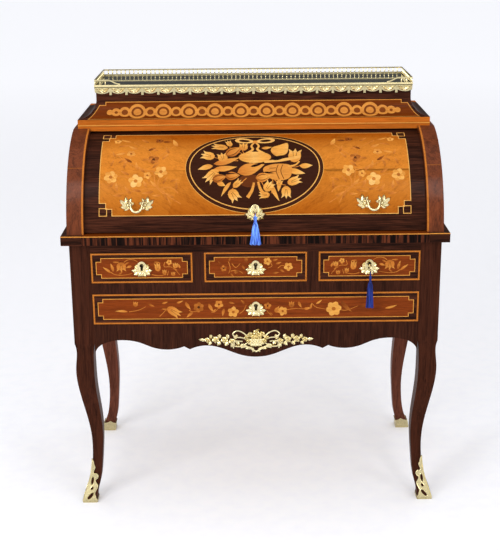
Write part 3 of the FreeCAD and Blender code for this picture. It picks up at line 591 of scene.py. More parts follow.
def make_finishes():
    """Every finish, each named for the wood, metal, stone, hide or silk that it is."""
    c = bpy.context.scene.desk_colours
    pale_steps = ((0.3, 0.55), (0.48, 0.95), (0.7, 1.35))
    dark_steps = ((0.32, 0.4), (0.5, 0.95), (0.72, 1.5))
    FINISHES.update({
        # Rosewood veneer, French polished: nearly black bands in brown, a soft mirror on top
        "rosewood": veneer("rosewood_veneer", shades(c.rosewood, (0.38, 0.3), (0.5, 0.9), (0.62, 1.8)),
                           2.6, "X", 22.0),
        "upright_rosewood": veneer("rosewood_upright",
                                   shades(c.rosewood, (0.36, 0.45), (0.5, 0.9), (0.66, 1.5)), 3.4, "Z", 14.0),
        "leg": veneer("rosewood_leg", shades(c.leg_wood, *dark_steps), 2.6, "Z", 20.0, 0.34, 0.02),
        # The same rosewood, painted paler for the light on the rear legs' faces
        "lit_back_leg": veneer("rosewood_lit_back_leg", shades(c.lit_back_leg_wood, *dark_steps), 2.6, "Z", 20.0, 0.34),
        # Cheek rosewood, paler than the wood to carry painted sheen
        "cheek": veneer("rosewood_and_sheen_cheek", shades(c.cheek_rosewood_and_sheen, *dark_steps), 2.6, "Z", 20.0, 0.3, 0.08),
        # Satinwood veneer: even orange with fine lengthwise streaks
        "satinwood": veneer("satinwood_veneer", shades(c.satinwood, *pale_steps), 1.6, "X", 26.0),
        # The same wood opened like a book, its figure slanting from the middle of the panel
        "panel": veneer("satinwood_panel",
                        shades(c.panel_shade, (0.0, 1.0)) + shades(c.panel_wood, (0.5, 1.0), (1.0, 1.3)),
                        2.6, "X", 7.0, toned=True, feather=math.radians(38)),
        # A redder veneer on the frieze, streaked along it
        "frieze": veneer("frieze_veneer", shades(c.frieze_wood, *pale_steps), 1.8, "X", 18.0),
        # Tulipwood veneer: red brown with paler stripes
        "tulipwood": veneer("tulipwood_veneer", shades(c.tulipwood, *pale_steps), 1.8, "X", 14.0),
        # Macassar ebony cut so that its stripes stand upright on the slide's edge
        "ebony": veneer("striped_ebony", stops((0.4, "#0e0604"), (0.5, "#1e0f0a"), (0.6, "#5e2e1b")),
                        9.0, "Z", 20.0, figure=0.1),
        # Inlay woods, from stained black to bare sycamore, told apart by each piece's tone
        "inlay": veneer("inlay_woods", stops((0.0, "#1c0e0a"), (0.2, "#4a2514"), (0.4, "#8c4718"),
                                             (0.6, "#cf7f33"), (0.8, "#eaa84e"), (1.0, "#f8d388")),
                        1.3, "X", 7.0, toned=True),
        # Planed oak, waxed but not polished
        "oak": veneer("planed_oak", shades(c.oak, *pale_steps), 2.0, "Y", 16.0, 0.55, 0.0),
        "oak_back": veneer("oak_back", shades(c.oak, *pale_steps), 2.4, "X", 30.0, 0.6, 0.0),
        # Cast brass, chased and gilt: pale gold, bright, a little worn to a deeper tone
        "gilt": metal("gilt_brass", shades(c.gilt, (0.3, 0.86), (0.5, 1.0), (0.75, 1.08)), 9.0, 0.24),
        # The same brass, matt and darkened to deep brown: painted shadow, laid as a line under the gallery's beads
        "painted_shadow_brass": metal("painted_shadow_brass",
                              shades(c.gilt, (0.3, 0.16), (0.5, 0.24), (0.75, 0.34)), 4.0, 0.5),
        # The same brass, duller and darker: a matt chased ground, and painted shade among the gallery's leaves and
        # on the feet
        "dull_shaded_brass": metal("dull_shaded_brass", shades(c.gilt, (0.3, 0.6), (0.5, 0.76), (0.75, 0.9)), 4.0, 0.34),
        # Filed steel with fine lengthwise marks
        "steel": metal("filed_steel", shades(c.steel, (0.3, 0.8), (0.7, 1.05)), 0.6, 0.38, 12.0),
        # Polished dark green marble with paler veins
        "marble": marble("green_marble", shades(c.stone, (0.3, 0.25), (0.5, 0.7), (0.62, 1.4), (0.75, 3.0)),
                         24.0),
        # Dyed skiver, drawn with a pebble coarse enough to show
        "hide": skiver("green_skiver", shades(c.hide, (0.3, 0.75), (0.7, 1.2)), 0.9),
        # Spun silk, cut and combed
        "pale_silk": silk("pale_silk", shades(c.pale_silk, (0.38, 0.45), (0.5, 1.0), (0.6, 2.0)), 2.4),
        "royal_silk": silk("royal_silk", shades(c.royal_silk, (0.38, 0.4), (0.5, 1.0), (0.6, 1.6)), 2.4),
    })


# Finishes of the slots that are not named as their finish is, and of single solids
SLOT_FINISH = {"marquetry": "rosewood", "striped_ebony": "ebony", "gilt_brass": "gilt", "bolt_steel": "steel",
               "leather": "hide"}
NODE_FINISH = {"frieze_cove": "rosewood", "cheek_left": "cheek", "cheek_right": "cheek",
               "leg_front_left": "leg", "leg_front_right": "leg",
               # Rear legs and side panels take the rosewood painted paler for the light on the rear legs
               "leg_rear_left": "lit_back_leg", "leg_rear_right": "lit_back_leg",
               "side_panel_left": "lit_back_leg", "side_panel_right": "lit_back_leg",
               "front_apron": "upright_rosewood", "middle_rail": "upright_rosewood",
               "drawer_partitions": "upright_rosewood", "upper_back": "oak_back", "lower_back": "oak_back",
               # The gallery's band in the darker brass: painted shade among its leaves
               "gallery_band": "dull_shaded_brass"}


class DESK_OT_finishes(bpy.types.Operator):
    """Give every solid of the frame its wood, metal, stone, hide or silk"""
    bl_idname = "desk.finishes"
    bl_label = "Finishes"

    def execute(self, context):
        make_finishes()
        for part in frame["record"]["subparts"]:
            name, slot = part["node"], part["material_slot"]
            look = NODE_FINISH.get(name, SLOT_FINISH.get(slot, slot))
            NODES[name].data.materials.clear()
            NODES[name].data.materials.append(FINISHES[look])
        return {"FINISHED"}


# Cast shapes: each is raised from a surface, closed underneath, and added to one Build
# Section of a leaf as shares of its half width and its lift, from one edge over the rib and back underneath
LEAF_ACROSS = ((-1.0, 0.3), (-0.6, 0.72), (-0.12, 1.0), (0.0, 0.8), (0.12, 1.0), (0.6, 0.72), (1.0, 0.3),
               (1.0, 0.0), (-1.0, 0.0))
LEAF_LOBES = 3
LOBE_DEPTH = 0.22
# A dome's rings, as shares of its radius and rise
BOSS_STEPS = ((1.0, 0.0), (1.0, 0.35), (0.86, 0.7), (0.55, 0.93), (0.0, 1.0))
KEYHOLE_R = 4.6
KEYHOLE_SLOT = 5.0
KEYHOLE_DROP = 12.4


def moulding(build, place, ring_at, profile, tone=PLAIN_TONE):
    """A closed moulding; its profile runs inwards as (across, proud); ring_at gives the line at an inset."""
    build.loft([[place(u, v, proud) for u, v in ring_at(across)] for across, proud in profile], tone, True)


def half_round(width, proud):
    shares = ((0, 0), (0, 0.5), (0.2, 0.9), (0.5, 1), (0.8, 0.9), (1, 0.5), (1, 0))
    return [(width * across, proud * up) for across, up in shares]


def cast_leaf(build, place, u, v, length, width, degrees, rise, bend=0.0, lobes=0, steps=10):
    """An acanthus leaf: a double rib, hollow flanks, edges cut in lobes and a tip that curls out."""
    turn = math.radians(degrees)
    rings = []
    for i in range(steps + 1):
        t = i / steps
        half = width / 2 * max(0.02, math.sin(math.pi * (0.1 + 0.9 * t) ** 0.8))
        half *= 1 + LOBE_DEPTH * math.cos(2 * math.pi * lobes * t) * (lobes > 0)
        lift = rise * (0.6 + 0.4 * math.sin(math.pi * t) + 0.25 * t * t)
        section = [(t * length, bend * length * t * t + share * half) for share, height in LEAF_ACROSS]
        rings.append([place(*at, lift * height)
                      for at, (share, height) in zip(turned(section, turn, u, v), LEAF_ACROSS)])
    build.loft(rings)


def cast_leaves(build, place, u, v, leaves, side, rise, bend):
    """Lobed leaves round a point, each (u, v, length, width, degrees); side -1 mirrors them."""
    for du, dv, length, width, degrees in leaves:
        cast_leaf(build, place, u + side * du, v + dv, length, width, degrees if side > 0 else 180 - degrees,
                  rise, bend * side, LEAF_LOBES)


def boss(build, place, u, v, radius, rise, count=14):
    """A low dome."""
    build.loft([[place(*at, rise * height) for at in ellipse(u, v, radius * share, radius * share, count)]
                for share, height in BOSS_STEPS])


def cast_flower(build, place, u, v, radius, rise, petals=5, turn=0.0):
    """A ring of petals, a smaller ring between them and a boss."""
    for length, width, lift, shift, steps in ((1.0, 0.95, 0.7, 0.0, 6), (0.62, 0.6, 1.0, 180 / petals, 5)):
        for angle in ring_points(petals):
            cast_leaf(build, place, u, v, radius * length, radius * width,
                      math.degrees(angle) + turn + shift, rise * lift, steps=steps)
    boss(build, place, u, v, radius * 0.24, rise * 1.1, 10)


def keyhole_ring(u, v):
    """A round hole with a slot below it, as one outline."""
    bow = [(u + KEYHOLE_R * math.cos(a), v + KEYHOLE_R * math.sin(a))
           for a in [math.radians(-50 + 280 * i / 14) for i in range(15)]]
    return bow + [(u - KEYHOLE_SLOT / 2, v - KEYHOLE_DROP), (u + KEYHOLE_SLOT / 2, v - KEYHOLE_DROP)]


def lathe(build, profile, sides):
    """A turned solid about the origin's upright; its profile is (radius, height) from foot to top."""
    build.loft([[(*at, height) for at in ellipse(0, 0, radius, radius, sides)] for radius, height in profile])


# Node trees for what follows a line, and for what repeats at points
class Guides:
    """Lines with a radius at each point."""

    def __init__(self):
        self.points = []
        self.edges = []
        self.radii = []

    def line(self, points, radii, closed=False):
        start = len(self.points)
        count = len(points)
        self.points += [Vector(p) for p in points]
        self.radii += radii if isinstance(radii, list) else [radii] * count
        self.edges += [(start + i, start + (i + 1) % count) for i in range(count if closed else count - 1)]

    def swept(self, name, sides, look):
        guide = bpy.data.meshes.new(name + "_guide")
        guide.from_pydata([p * MM for p in self.points], self.edges, [])
        thickness = guide.attributes.new("thickness", "FLOAT", "POINT")
        thickness.data.foreach_set("value", [r * MM for r in self.radii])
        return run_tree(sweep_tree(), name, guide, look, {"Sides": sides})


def new_tree(name, label, kind):
    """An empty geometry tree with one named input of its own; gives the tree and its input node."""
    tree = bpy.data.node_groups.new(name, "GeometryNodeTree")
    tree.interface.new_socket(name="Geometry", in_out="OUTPUT", socket_type="NodeSocketGeometry")
    for title, socket in (("Geometry", "NodeSocketGeometry"), (label, kind),
                          ("Material", "NodeSocketMaterial")):
        tree.interface.new_socket(name=title, in_out="INPUT", socket_type=socket)
    return tree, add(tree, "NodeGroupInput")


def end_tree(tree, inputs, shape):
    real = add(tree, "GeometryNodeRealizeInstances", None, {"Geometry": shape})
    done = add(tree, "GeometryNodeSetMaterial", None,
               {"Geometry": real.outputs[0], "Material": inputs.outputs["Material"]})
    add(tree, "NodeGroupOutput", None, {"Geometry": done.outputs[0]})


def sweep_tree():
    """Sweeps a round section, with each point's thickness, along every line of a mesh."""
    tree = bpy.data.node_groups.get("sweep_lines")
    if tree is None:
        tree, inputs = new_tree("sweep_lines", "Sides", "NodeSocketInt")
        thickness = add(tree, "GeometryNodeInputNamedAttribute", {"data_type": "FLOAT", "Name": "thickness"})
        line = add(tree, "GeometryNodeMeshToCurve", None, {"Mesh": inputs.outputs["Geometry"]})
        section = add(tree, "GeometryNodeCurvePrimitiveCircle", {"Radius": 1.0},
                      {"Resolution": inputs.outputs["Sides"]})
        tube = add(tree, "GeometryNodeCurveToMesh", {"Fill Caps": True},
                   {"Curve": line.outputs[0], "Profile Curve": section.outputs[0],
                    "Scale": thickness.outputs["Attribute"]})
        end_tree(tree, inputs, tube.outputs[0])
    return tree


def repeat_tree():
    """Sets a pattern at every point of a mesh, turned and stretched as the point says."""
    tree = bpy.data.node_groups.get("repeat_at_points")
    if tree is None:
        tree, inputs = new_tree("repeat_at_points", "Pattern", "NodeSocketObject")
        pattern = add(tree, "GeometryNodeObjectInfo", {"As Instance": True},
                      {"Object": inputs.outputs["Pattern"]})
        points = add(tree, "GeometryNodeMeshToPoints", None, {"Mesh": inputs.outputs["Geometry"]})
        turn, stretch = (
            add(tree, "GeometryNodeInputNamedAttribute", {"data_type": "FLOAT_VECTOR", "Name": key})
            for key in ("turn", "stretch"))
        rotation = add(tree, "FunctionNodeEulerToRotation", None, {0: turn.outputs["Attribute"]})
        copies = add(tree, "GeometryNodeInstanceOnPoints", None,
                     {"Points": points.outputs[0], "Instance": pattern.outputs["Geometry"],
                      "Rotation": rotation.outputs[0], "Scale": stretch.outputs["Attribute"]})
        end_tree(tree, inputs, copies.outputs[0])
    return tree


def run_tree(tree, name, mesh, look, values):
    """The mesh that a geometry tree makes from another mesh, with its named inputs set."""
    holder = bpy.data.objects.new(name + "_holder", mesh)
    bpy.context.scene.collection.objects.link(holder)
    modifier = holder.modifiers.new("tree", "NODES")
    modifier.node_group = tree
    values = {**values, "Material": FINISHES[look]}
    for item in tree.interface.items_tree:
        if item.in_out == "INPUT" and item.name in values:
            modifier[item.identifier] = values[item.name]
    made = bpy.data.meshes.new_from_object(holder.evaluated_get(bpy.context.evaluated_depsgraph_get()))
    made.name = name
    bpy.data.objects.remove(holder)
    tidy(made)
    return made


def repeated(name, pattern, places, look):
    """A pattern set at places, each (point, turn about the upright in radians, stretch)."""
    guide = bpy.data.meshes.new(name + "_places")
    guide.from_pydata([Vector(p) * MM for p, turn, stretch in places], [], [])
    for key, rows in (("turn", [(0, 0, turn) for p, turn, stretch in places]),
                      ("stretch", [stretch for p, turn, stretch in places])):
        values = [number for row in rows for number in row]
        guide.attributes.new(key, "FLOAT_VECTOR", "POINT").data.foreach_set("vector", values)
    stand = bpy.data.objects.new(name + "_pattern", pattern)
    bpy.context.scene.collection.objects.link(stand)
    made = run_tree(repeat_tree(), name, guide, look, {"Pattern": stand})
    bpy.data.objects.remove(stand)
    return made


def joined(name, *meshes):
    """One mesh from several."""
    work = bmesh.new()
    for mesh in meshes:
        work.from_mesh(mesh)
    whole = bpy.data.meshes.new(name)
    work.to_mesh(whole)
    work.free()
    soften(whole)
    return whole


# Inlay heights: the first layer clears the facets of a curved solid, and each next one stands a step higher
FIRST_LAYER = 0.1
CURVE_STEP = 6.0


def layer(number):
    return FIRST_LAYER + number * sizes().layer_h / MM


def string_w():
    return sizes().string_w / MM


def stepped(u0, u1, v0, v1, *steps):
    """A rectangle whose corners go in by steps, each (across, up) from the corner."""
    corner, across = [], 0
    for further, up in steps:
        corner += [(across, up), (further, up)]
        across = further
    corner.append((across, 0))
    low_left = [(u0 + a, v0 + b) for a, b in corner]
    low_right = [(u1 - a, v0 + b) for a, b in reversed(corner)]
    high_right = [(u1 - a, v1 - b) for a, b in corner]
    high_left = [(u0 + a, v1 - b) for a, b in reversed(corner)]
    return low_left + low_right + high_right + high_left


def inset(ring, distance):
    """A ring of points moved inwards by a distance; the ring runs anticlockwise."""
    out = []
    for i, here in enumerate(ring):
        before, after = Vector(ring[i - 1]), Vector(ring[(i + 1) % len(ring)])
        here = Vector(here)
        a, b = (here - before).normalized(), (after - here).normalized()
        normal_a, normal_b = Vector((-a.y, a.x)), Vector((-b.y, b.x))
        out.append(tuple(here + (normal_a + normal_b) * (distance / (1 + normal_a.dot(normal_b)))))
    return out


def ring_line(ring, width):
    return [inset(ring, -width / 2), inset(ring, width / 2)]


def oval_line(cu, cv, ru, rv, width, count=112):
    """An oval line, or a filled oval where it has no width."""
    outer = ellipse(cu, cv, ru, rv, count)
    return [outer, ellipse(cu, cv, ru - width, rv - width, count)] if width else [outer]


# The fall's panel: places on its surface, u across and v up the curve
PANEL_HALF = HALF_FALL - 36.5
PANEL_LOW = 68.0
PANEL_HIGH = 317.0
PANEL_JOINT = 180.0
PANEL_STEPS = ((16.0, 31.0), (31.0, 16.5))
CORNER_SQUARE = 20.0
FADE_LOW = 130.0
FADE_HIGH = 240.0
OVAL = (0.0, 190.6, 169.5, 120.0)
OVAL_BAND = 9.5
# The oval from its edge inwards: (inset, more inset and width as shares of a line, layer, tone);
# one without a width is filled
OVAL_LAYERS = ((0, 0, 0.7, 2, 0.82), (0, 0.6, 0, 1.2, 0.13), (OVAL_BAND, 0, 1.4, 2.4, 0.84),
               (OVAL_BAND, 1, 0, 1.8, 0.1))
LINE_TONE = 0.86
SQUARE_TONE = 0.84
# The panel's quarters: (side, upper, tone)
QUARTERS = ((-1, False, 0.5), (1, False, 0.46), (-1, True, 0.66), (1, True, 0.62))
# The pieces under and over the oval: (reach past it at the panel's edge, at the joint, joint's height, tone)
FOOT = (42.0, 4.0, PANEL_JOINT, 0.36)
BROW = (46.0, 2.0, PANEL_JOINT + 24.0, 0.5)
# How much darker the panel is at its upper and lower edges
FADE = (0.66, 0.3)
SPRAY_STEM = 2.6
# Leaves, buds and flowers of a spray, right of the oval: (u, v, length, width, degrees, tone)
SPRAY_LEAVES = (
    (196, 112, 26, 6, 20, 0.72), (212, 104, 30, 6, 62, 0.68), (228, 118, 22, 6, -10, 0.75),
    (190, 131, 24, 7, 80, 0.66), (236, 138, 26, 7, 35, 0.78), (224, 146, 24, 6, 112, 0.68),
    (246, 128, 30, 7, -18, 0.7), (262, 137, 22, 7, 55, 0.74), (276, 128, 26, 6, 8, 0.66),
    (300, 122, 26, 7, 40, 0.7), (322, 118, 24, 6, -6, 0.68), (334, 130, 22, 7, 72, 0.76),
    (206, 152, 22, 6, 150, 0.68), (258, 152, 24, 7, 88, 0.72), (268, 178, 24, 7, 40, 0.7),
    (250, 190, 24, 6, 130, 0.66), (284, 184, 26, 7, 66, 0.76), (306, 172, 24, 7, 20, 0.68),
    (320, 190, 26, 7, 95, 0.7), (334, 206, 22, 6, 140, 0.66), (300, 208, 26, 7, 28, 0.5),
    (276, 214, 22, 6, 160, 0.68), (226, 216, 24, 7, 118, 0.72), (210, 236, 26, 7, 62, 0.68),
    (238, 246, 24, 6, 20, 0.74), (262, 246, 22, 7, 140, 0.5), (288, 252, 26, 8, 20, 0.8),
    (318, 240, 24, 6, -24, 0.82), (336, 262, 26, 6, 160, 0.7), (306, 282, 28, 6, 12, 0.82),
    (262, 278, 24, 7, 30, 0.66), (226, 280, 22, 7, 168, 0.5), (190, 262, 30, 11, 58, 0.84),
    (342, 226, 20, 6, 60, 0.7), (352, 196, 22, 6, 100, 0.68), (350, 140, 20, 6, 110, 0.7),
)
SPRAY_FLOWERS = (
    (229, 180, 16, 0.8, 5), (290, 155, 18, 0.86, 5), (351, 166, 17, 0.78, 6), (248, 217, 14, 0.52, 6),
    (262, 170, 10, 0.74, 5), (236, 286, 10, 0.42, 5), (304, 236, 11, 0.7, 5), (340, 284, 9, 0.78, 5),
)
SPRAY_STEMS = (
    ((180, 96), (205, 112), (233, 135), (262, 148), (290, 155)),
    ((205, 96), (216, 116), (240, 140), (246, 180), (248, 210), (262, 250), (300, 280)),
    ((186, 122), (198, 134), (214, 138), (234, 134), (268, 134), (304, 126), (338, 122)),
    ((229, 168), (236, 150), (234, 134)), ((290, 155), (320, 168), (351, 166)),
    ((246, 180), (280, 190), (316, 210), (340, 236)), ((248, 214), (220, 240), (196, 268)),
)
# The bouquet inside the oval, tied with a bow: (u, v, length, width, degrees, tone)
BOUQUET_LEAVES = (
    (-102, 195, 38, 15, 186, 0.9), (-91, 151, 22, 13, 322, 0.86), (-58, 150, 44, 9, 228, 0.86),
    (38, 148, 52, 11, 285, 0.86), (82, 184, 43, 16, 334, 0.92), (110, 194, 32, 15, 352, 0.9),
    (18, 252, 26, 10, 0, 0.86), (-99, 187, 56, 16, 356, 0.82), (-101, 201, 68, 17, 8, 0.76),
    (62, 150, 26, 10, 250, 0.84),
)
BOUQUET_BUDS = (
    (-66, 254, 42, 22, 168, 0.9), (-58, 260, 26, 15, 110, 0.9), (-26, 244, 30, 22, 92, 0.86),
    (-98, 222, 36, 27, 162, 0.92), (-75, 208, 30, 25, 103, 0.88), (-90, 184, 46, 27, 228, 0.92),
    (-52, 136, 28, 16, 46, 0.9), (-60, 130, 34, 27, 302, 0.92), (25, 126, 30, 23, 56, 0.92),
    (36, 117, 28, 17, 184, 0.9), (76, 138, 32, 24, 270, 0.92), (80, 145, 37, 22, 22, 0.92),
    (97, 204, 46, 33, 84, 0.9), (57, 139, 18, 15, 70, 0.88),
)
BOUQUET_STEMS = (
    ((-10, 200), (-30, 232), (-62, 257)),
    ((-20, 160), (-40, 142), (-56, 132)),
    ((12, 160), (20, 142), (28, 126)),
    ((44, 160), (58, 146), (76, 140)),
    ((86, 192), (100, 190), (112, 194)),
    ((-40, 210), (-70, 212), (-100, 222)),
    ((0, 200), (-26, 236), (-30, 250)),
    ((40, 162), (44, 150), (40, 120)),
)
# Rosebuds part hidden by the lute and the drum
BOUQUET_ROSES = (
    (-71, 228, 50, 29, 32, 0.66), (-104, 157, 36, 23, 10, 0.62), (-72, 166, 36, 23, 0, 0.66),
    (2, 160, 40, 25, 4, 0.74),
)
BOUQUET_SHADE = (-12, 153, 27, 17)
BOUQUET_STEM = 2.4
RIBBON_ENDS = (((-2, 148), (-7, 128), (-18, 110)), ((8, 150), (14, 130), (26, 114)))
SCROLL = ((44, 254), (60, 262), (82, 271), (84, 250), (78, 231), (56, 223), (42, 238))
LUTE_BELLY = (1, 221, 40, 18)
LUTE_BACK = (-42, 175, 70, 33, 19)
LUTE_NECK = ((24, 206), (68, 211), (112, 222))
LUTE_PEGS = ((82, 192), (100, 196), (110, 207))
DRUM = ((22, 188), (48, 199), (84, 197), (92, 180), (82, 158), (50, 154), (27, 168))
DRUM_CORDS = (
    ((58, 197), (53, 178), (60, 156)),
    ((69, 197), (64, 178), (71, 157)),
    ((36, 187), (44, 187), (52, 188)),
    ((38, 177), (45, 177), (53, 178)),
)
# Openings between the pieces, let in black: (u, v, length, width, degrees)
DARK_GAPS = ((-10, 192, 32, 7, 14), (42, 213, 44, 13, 15), (-92, 176, 46, 5, 352), (22, 176, 26, 5, 350),
             (-46, 224, 18, 5, 40))
# Ribbons, cords, neck and pegs: (lines, width at the start and at the end, layer, tone)
BOUQUET_LINES = ((RIBBON_ENDS, 5.0, 9.0, 4.6, 0.72), (DRUM_CORDS, 1.8, 1.8, 6.4, CUT_TONE),
                 ((LUTE_NECK,), 7.0, 9.5, 7.6, 0.84), ((LUTE_PEGS,), 4.4, 4.0, 7.4, 0.78))
# Folds of a rosebud: (share of its width, height above it, tone, or how much paler than the bud)
ROSE_FOLDS = ((0.66, 0.02, 0.24, False), (0.52, 0.04, 0.1, True))
FOLD_START = 3.0
FOLD_LENGTH = 0.86
BOW_CENTRE = (2.0, 277.0)
BOW_OUTER = ((0, 0), (16, 13), (38, 17), (50, 8), (40, -3), (18, -5))
BOW_INNER = ((12, 4), (20, 9), (34, 11), (40, 6), (34, 1), (20, -1))
BOW_TAIL = ((0, 0), (9, -16), (6, -30), (22, -44))
BOW_TAIL_W = (4.0, 7.0)
BOW_KNOT = (6.0, 6.5)
# Tones of the bouquet's plain pieces
SHADE_TONE = 0.26
DRUM_TONE = 0.68
LUTE_TONE = 0.78
BELLY_TONE = 0.86
GAP_TONE = 0.14
TAIL_TONE = 0.82
KNOT_TONE = 0.66
# How the scroll grows paler to the right of a place, and the lute's belly darker from the middle
SCROLL_FADE = (0.002, 60)
BELLY_FADE = 0.003


class DESK_OT_fall(bpy.types.Operator):
    """Lay the marquetry of the fall: stepped panel, corner squares, oval, bouquet and sprays"""
    bl_idname = "desk.fall"
    bl_label = "Fall marquetry"

    def execute(self, context):
        outline = stepped(-PANEL_HALF, PANEL_HALF, PANEL_LOW, PANEL_HIGH, *PANEL_STEPS)
        panel = Inlay(cylinder(FALL_R), CURVE_STEP)
        self.lay_panel(panel, outline)
        panel.piece("fall_panel", "panel", "fall", "marquetry")
        inlay = Inlay(cylinder(FALL_R), CURVE_STEP)
        self.lay_lines(inlay, outline)
        for side in (1, -1):
            inlay.plant((0, 0), side, layer(2), SPRAY_STEM, 0.0, SPRAY_STEMS, SPRAY_LEAVES, (), SPRAY_FLOWERS)
        self.lay_bouquet(inlay)
        self.lay_bow(inlay)
        inlay.piece("fall_inlay", "inlay", "fall", "marquetry")
        return {"FINISHED"}

    def lay_panel(self, panel, outline):
        """Four quarters of veneer, and a keener piece above and below the oval on each side."""
        for side, upper, tone in QUARTERS:
            quarter = clip(outline, lambda u, v: side * u)
            keep = (lambda u, v: v - PANEL_JOINT) if upper else (lambda u, v: PANEL_JOINT - v)
            panel.shape([clip(quarter, keep)], layer(0), lambda u, v: tone - self.fade(v))
        half = OVAL[2]
        for side in (-1, 1):
            for edge, (far, near, top, tone) in ((PANEL_LOW, FOOT), (PANEL_HIGH, BROW)):
                piece = [(0, edge), (side * (half + far), edge), (side * (half + near), top), (0, top)]
                panel.shape([piece], layer(0.4), lambda u, v: tone - self.fade(v))

    def fade(self, v):
        """How much darker the veneer grows towards the panel's upper and lower edges."""
        high = max(0.0, (v - FADE_HIGH) / (PANEL_HIGH - FADE_HIGH))
        low = max(0.0, (FADE_LOW - v) / (FADE_LOW - PANEL_LOW))
        return FADE[0] * high + FADE[1] * low

    def lay_lines(self, inlay, outline):
        width = string_w()
        inlay.shape(ring_line(outline, width), layer(2), LINE_TONE)
        outer = PANEL_HALF + width / 2
        for side in (-1, 1):
            for v0 in (PANEL_LOW - width / 2, PANEL_HIGH + width / 2 - CORNER_SQUARE):
                u0, u1 = sorted((side * outer, side * (outer - CORNER_SQUARE)))
                square = rectangle(u0, u1, v0, v0 + CORNER_SQUARE)
                inlay.shape([square, inset(square, width)], layer(2), SQUARE_TONE)
        cu, cv, ru, rv = OVAL
        for inset_by, more, line_w, level, tone in OVAL_LAYERS:
            inset_by += more * width
            inlay.shape(oval_line(cu, cv, ru - inset_by, rv - inset_by, line_w * width), layer(level), tone)


    def lay_bouquet(self, inlay):
        inlay.shape([ellipse(*BOUQUET_SHADE)], layer(2.4), SHADE_TONE)
        inlay.plant((0, 0), 1, layer(2.6), BOUQUET_STEM, 0.0, BOUQUET_STEMS, BOUQUET_LEAVES, BOUQUET_BUDS, ())
        for lines, start_w, end_w, level, tone in BOUQUET_LINES:
            for points in lines:
                inlay.line(points, start_w, layer(level), tone, end_w)
        for number, (u, v, length, width, degrees, tone) in enumerate(BOUQUET_ROSES):
            angle = math.radians(degrees)
            high = layer(5 + number / 10)
            inlay.leaf(u, v, length, width, angle, high, tone, 0.05)
            start = (u + FOLD_START * math.cos(angle), v + FOLD_START * math.sin(angle))
            for share, step, fold_tone, paler in ROSE_FOLDS:
                inlay.leaf(*start, length * FOLD_LENGTH, width * share, angle, high + step,
                           fold_tone + tone * paler, 0.1)
        inlay.shape([round_off(DRUM)], layer(6), DRUM_TONE)
        u, v, length, width, degrees = LUTE_BACK
        inlay.leaf(u, v, length, width, math.radians(degrees), layer(6.8), LUTE_TONE, 0.0)
        paler, scroll_u = SCROLL_FADE
        inlay.shape([round_off(SCROLL)], layer(6.8), lambda u, v: LUTE_TONE + paler * (u - scroll_u))
        inlay.shape([ellipse(*LUTE_BELLY)], layer(7.2), lambda u, v: BELLY_TONE - BELLY_FADE * abs(u))
        for u, v, length, width, degrees in DARK_GAPS:
            inlay.leaf(u, v, length, width, math.radians(degrees), layer(8), GAP_TONE, 0.05)

    def lay_bow(self, inlay):
        cu, cv = BOW_CENTRE
        for side in (-1, 1):
            outer, inner, tail = ([(side * u, v) for u, v in ring]
                                  for ring in (BOW_OUTER, BOW_INNER, BOW_TAIL))
            inlay.shape([[(cu + u, cv + v) for u, v in round_off(ring)] for ring in (outer, inner)],
                        layer(8.2), LINE_TONE)
            start_w, end_w = BOW_TAIL_W
            inlay.line([(cu + u, cv + v) for u, v in tail], start_w, layer(7.8), TAIL_TONE, end_w)
        inlay.shape([ellipse(cu, cv, *BOW_KNOT, 20)], layer(8.6), KNOT_TONE)


# Frieze: its front is hollow, an arc from the cornice's edge up and back to the top board
COVE_SAG_SHARE = 0.2


def cove_front():
    """The frieze's hollow front, with v the arc length from its lower edge, and that whole length."""
    low, high = node_box("frieze_cove")
    start = Vector((low.y, low.z))
    end = Vector((node_box("top_board")[0].y, high.z))
    chord = end - start
    sag = Vector((chord.y, -chord.x)) * COVE_SAG_SHARE
    radius = (chord.length ** 2 / 4 + sag.length ** 2) / (2 * sag.length)
    centre = start + chord / 2 + sag - sag.normalized() * radius
    first = math.atan2(*(start - centre).yx)
    sweep = 2 * math.asin(chord.length / 2 / radius)

    def place(u, v, h):
        angle = first + v / radius
        out = radius - h
        return Vector((u, centre.x + out * math.cos(angle), centre.y + out * math.sin(angle)))
    return place, sweep * radius


RING_PITCH = 65.7
RING_COUNT = 5
BIG_RING = 22.5
SMALL_RING = 14.5
# Rounds of a ring: (share of its radius, width of a line as a share or 0 where filled, layer, tone, sides)
BIG_ROUNDS = ((1.0, 0, 2, 0.68, 40), (0.68, 0.24, 3, 0.34, 40), (0.46, 0, 2.5, 0.66, 32))
SMALL_ROUNDS = ((1.0, 0, 2.5, 0.68, 40), (0.56, 0, 3, 0.36, 28))
# Rings that close the chain at each end: (distance past the last big ring, radius, eye radius)
END_RINGS = ((32.0, 15.0, 8.2), (54.0, 12.0, 4.2), (70.0, 8.0, 0.0))
# Bare edge round the frieze's panel: below it, above it, and at its lower and upper corners
FRIEZE_MARGINS = (5.85, 6.5, 26.0, 7.8)
FRIEZE_STEP = (16.0, 8.0)
CHEEK_LINE = 4.6
CHEEK_LOW_DEG = 6.0
CHEEK_HIGH_DEG = 79.3
CHEEK_JOINT_DEG = 44.0
CHEEK_CLEAR = 0.3
CHEEK_TONES = (0.56, 0.5)
CHEEK_JOINT_W = 1.0
CORNICE_LINE = 2.2
CORNICE_TONE = 0.8
FRIEZE_TONE = 0.74
# The chain's middle stands this far below the middle of the frieze
CHAIN_DROP = 1.0


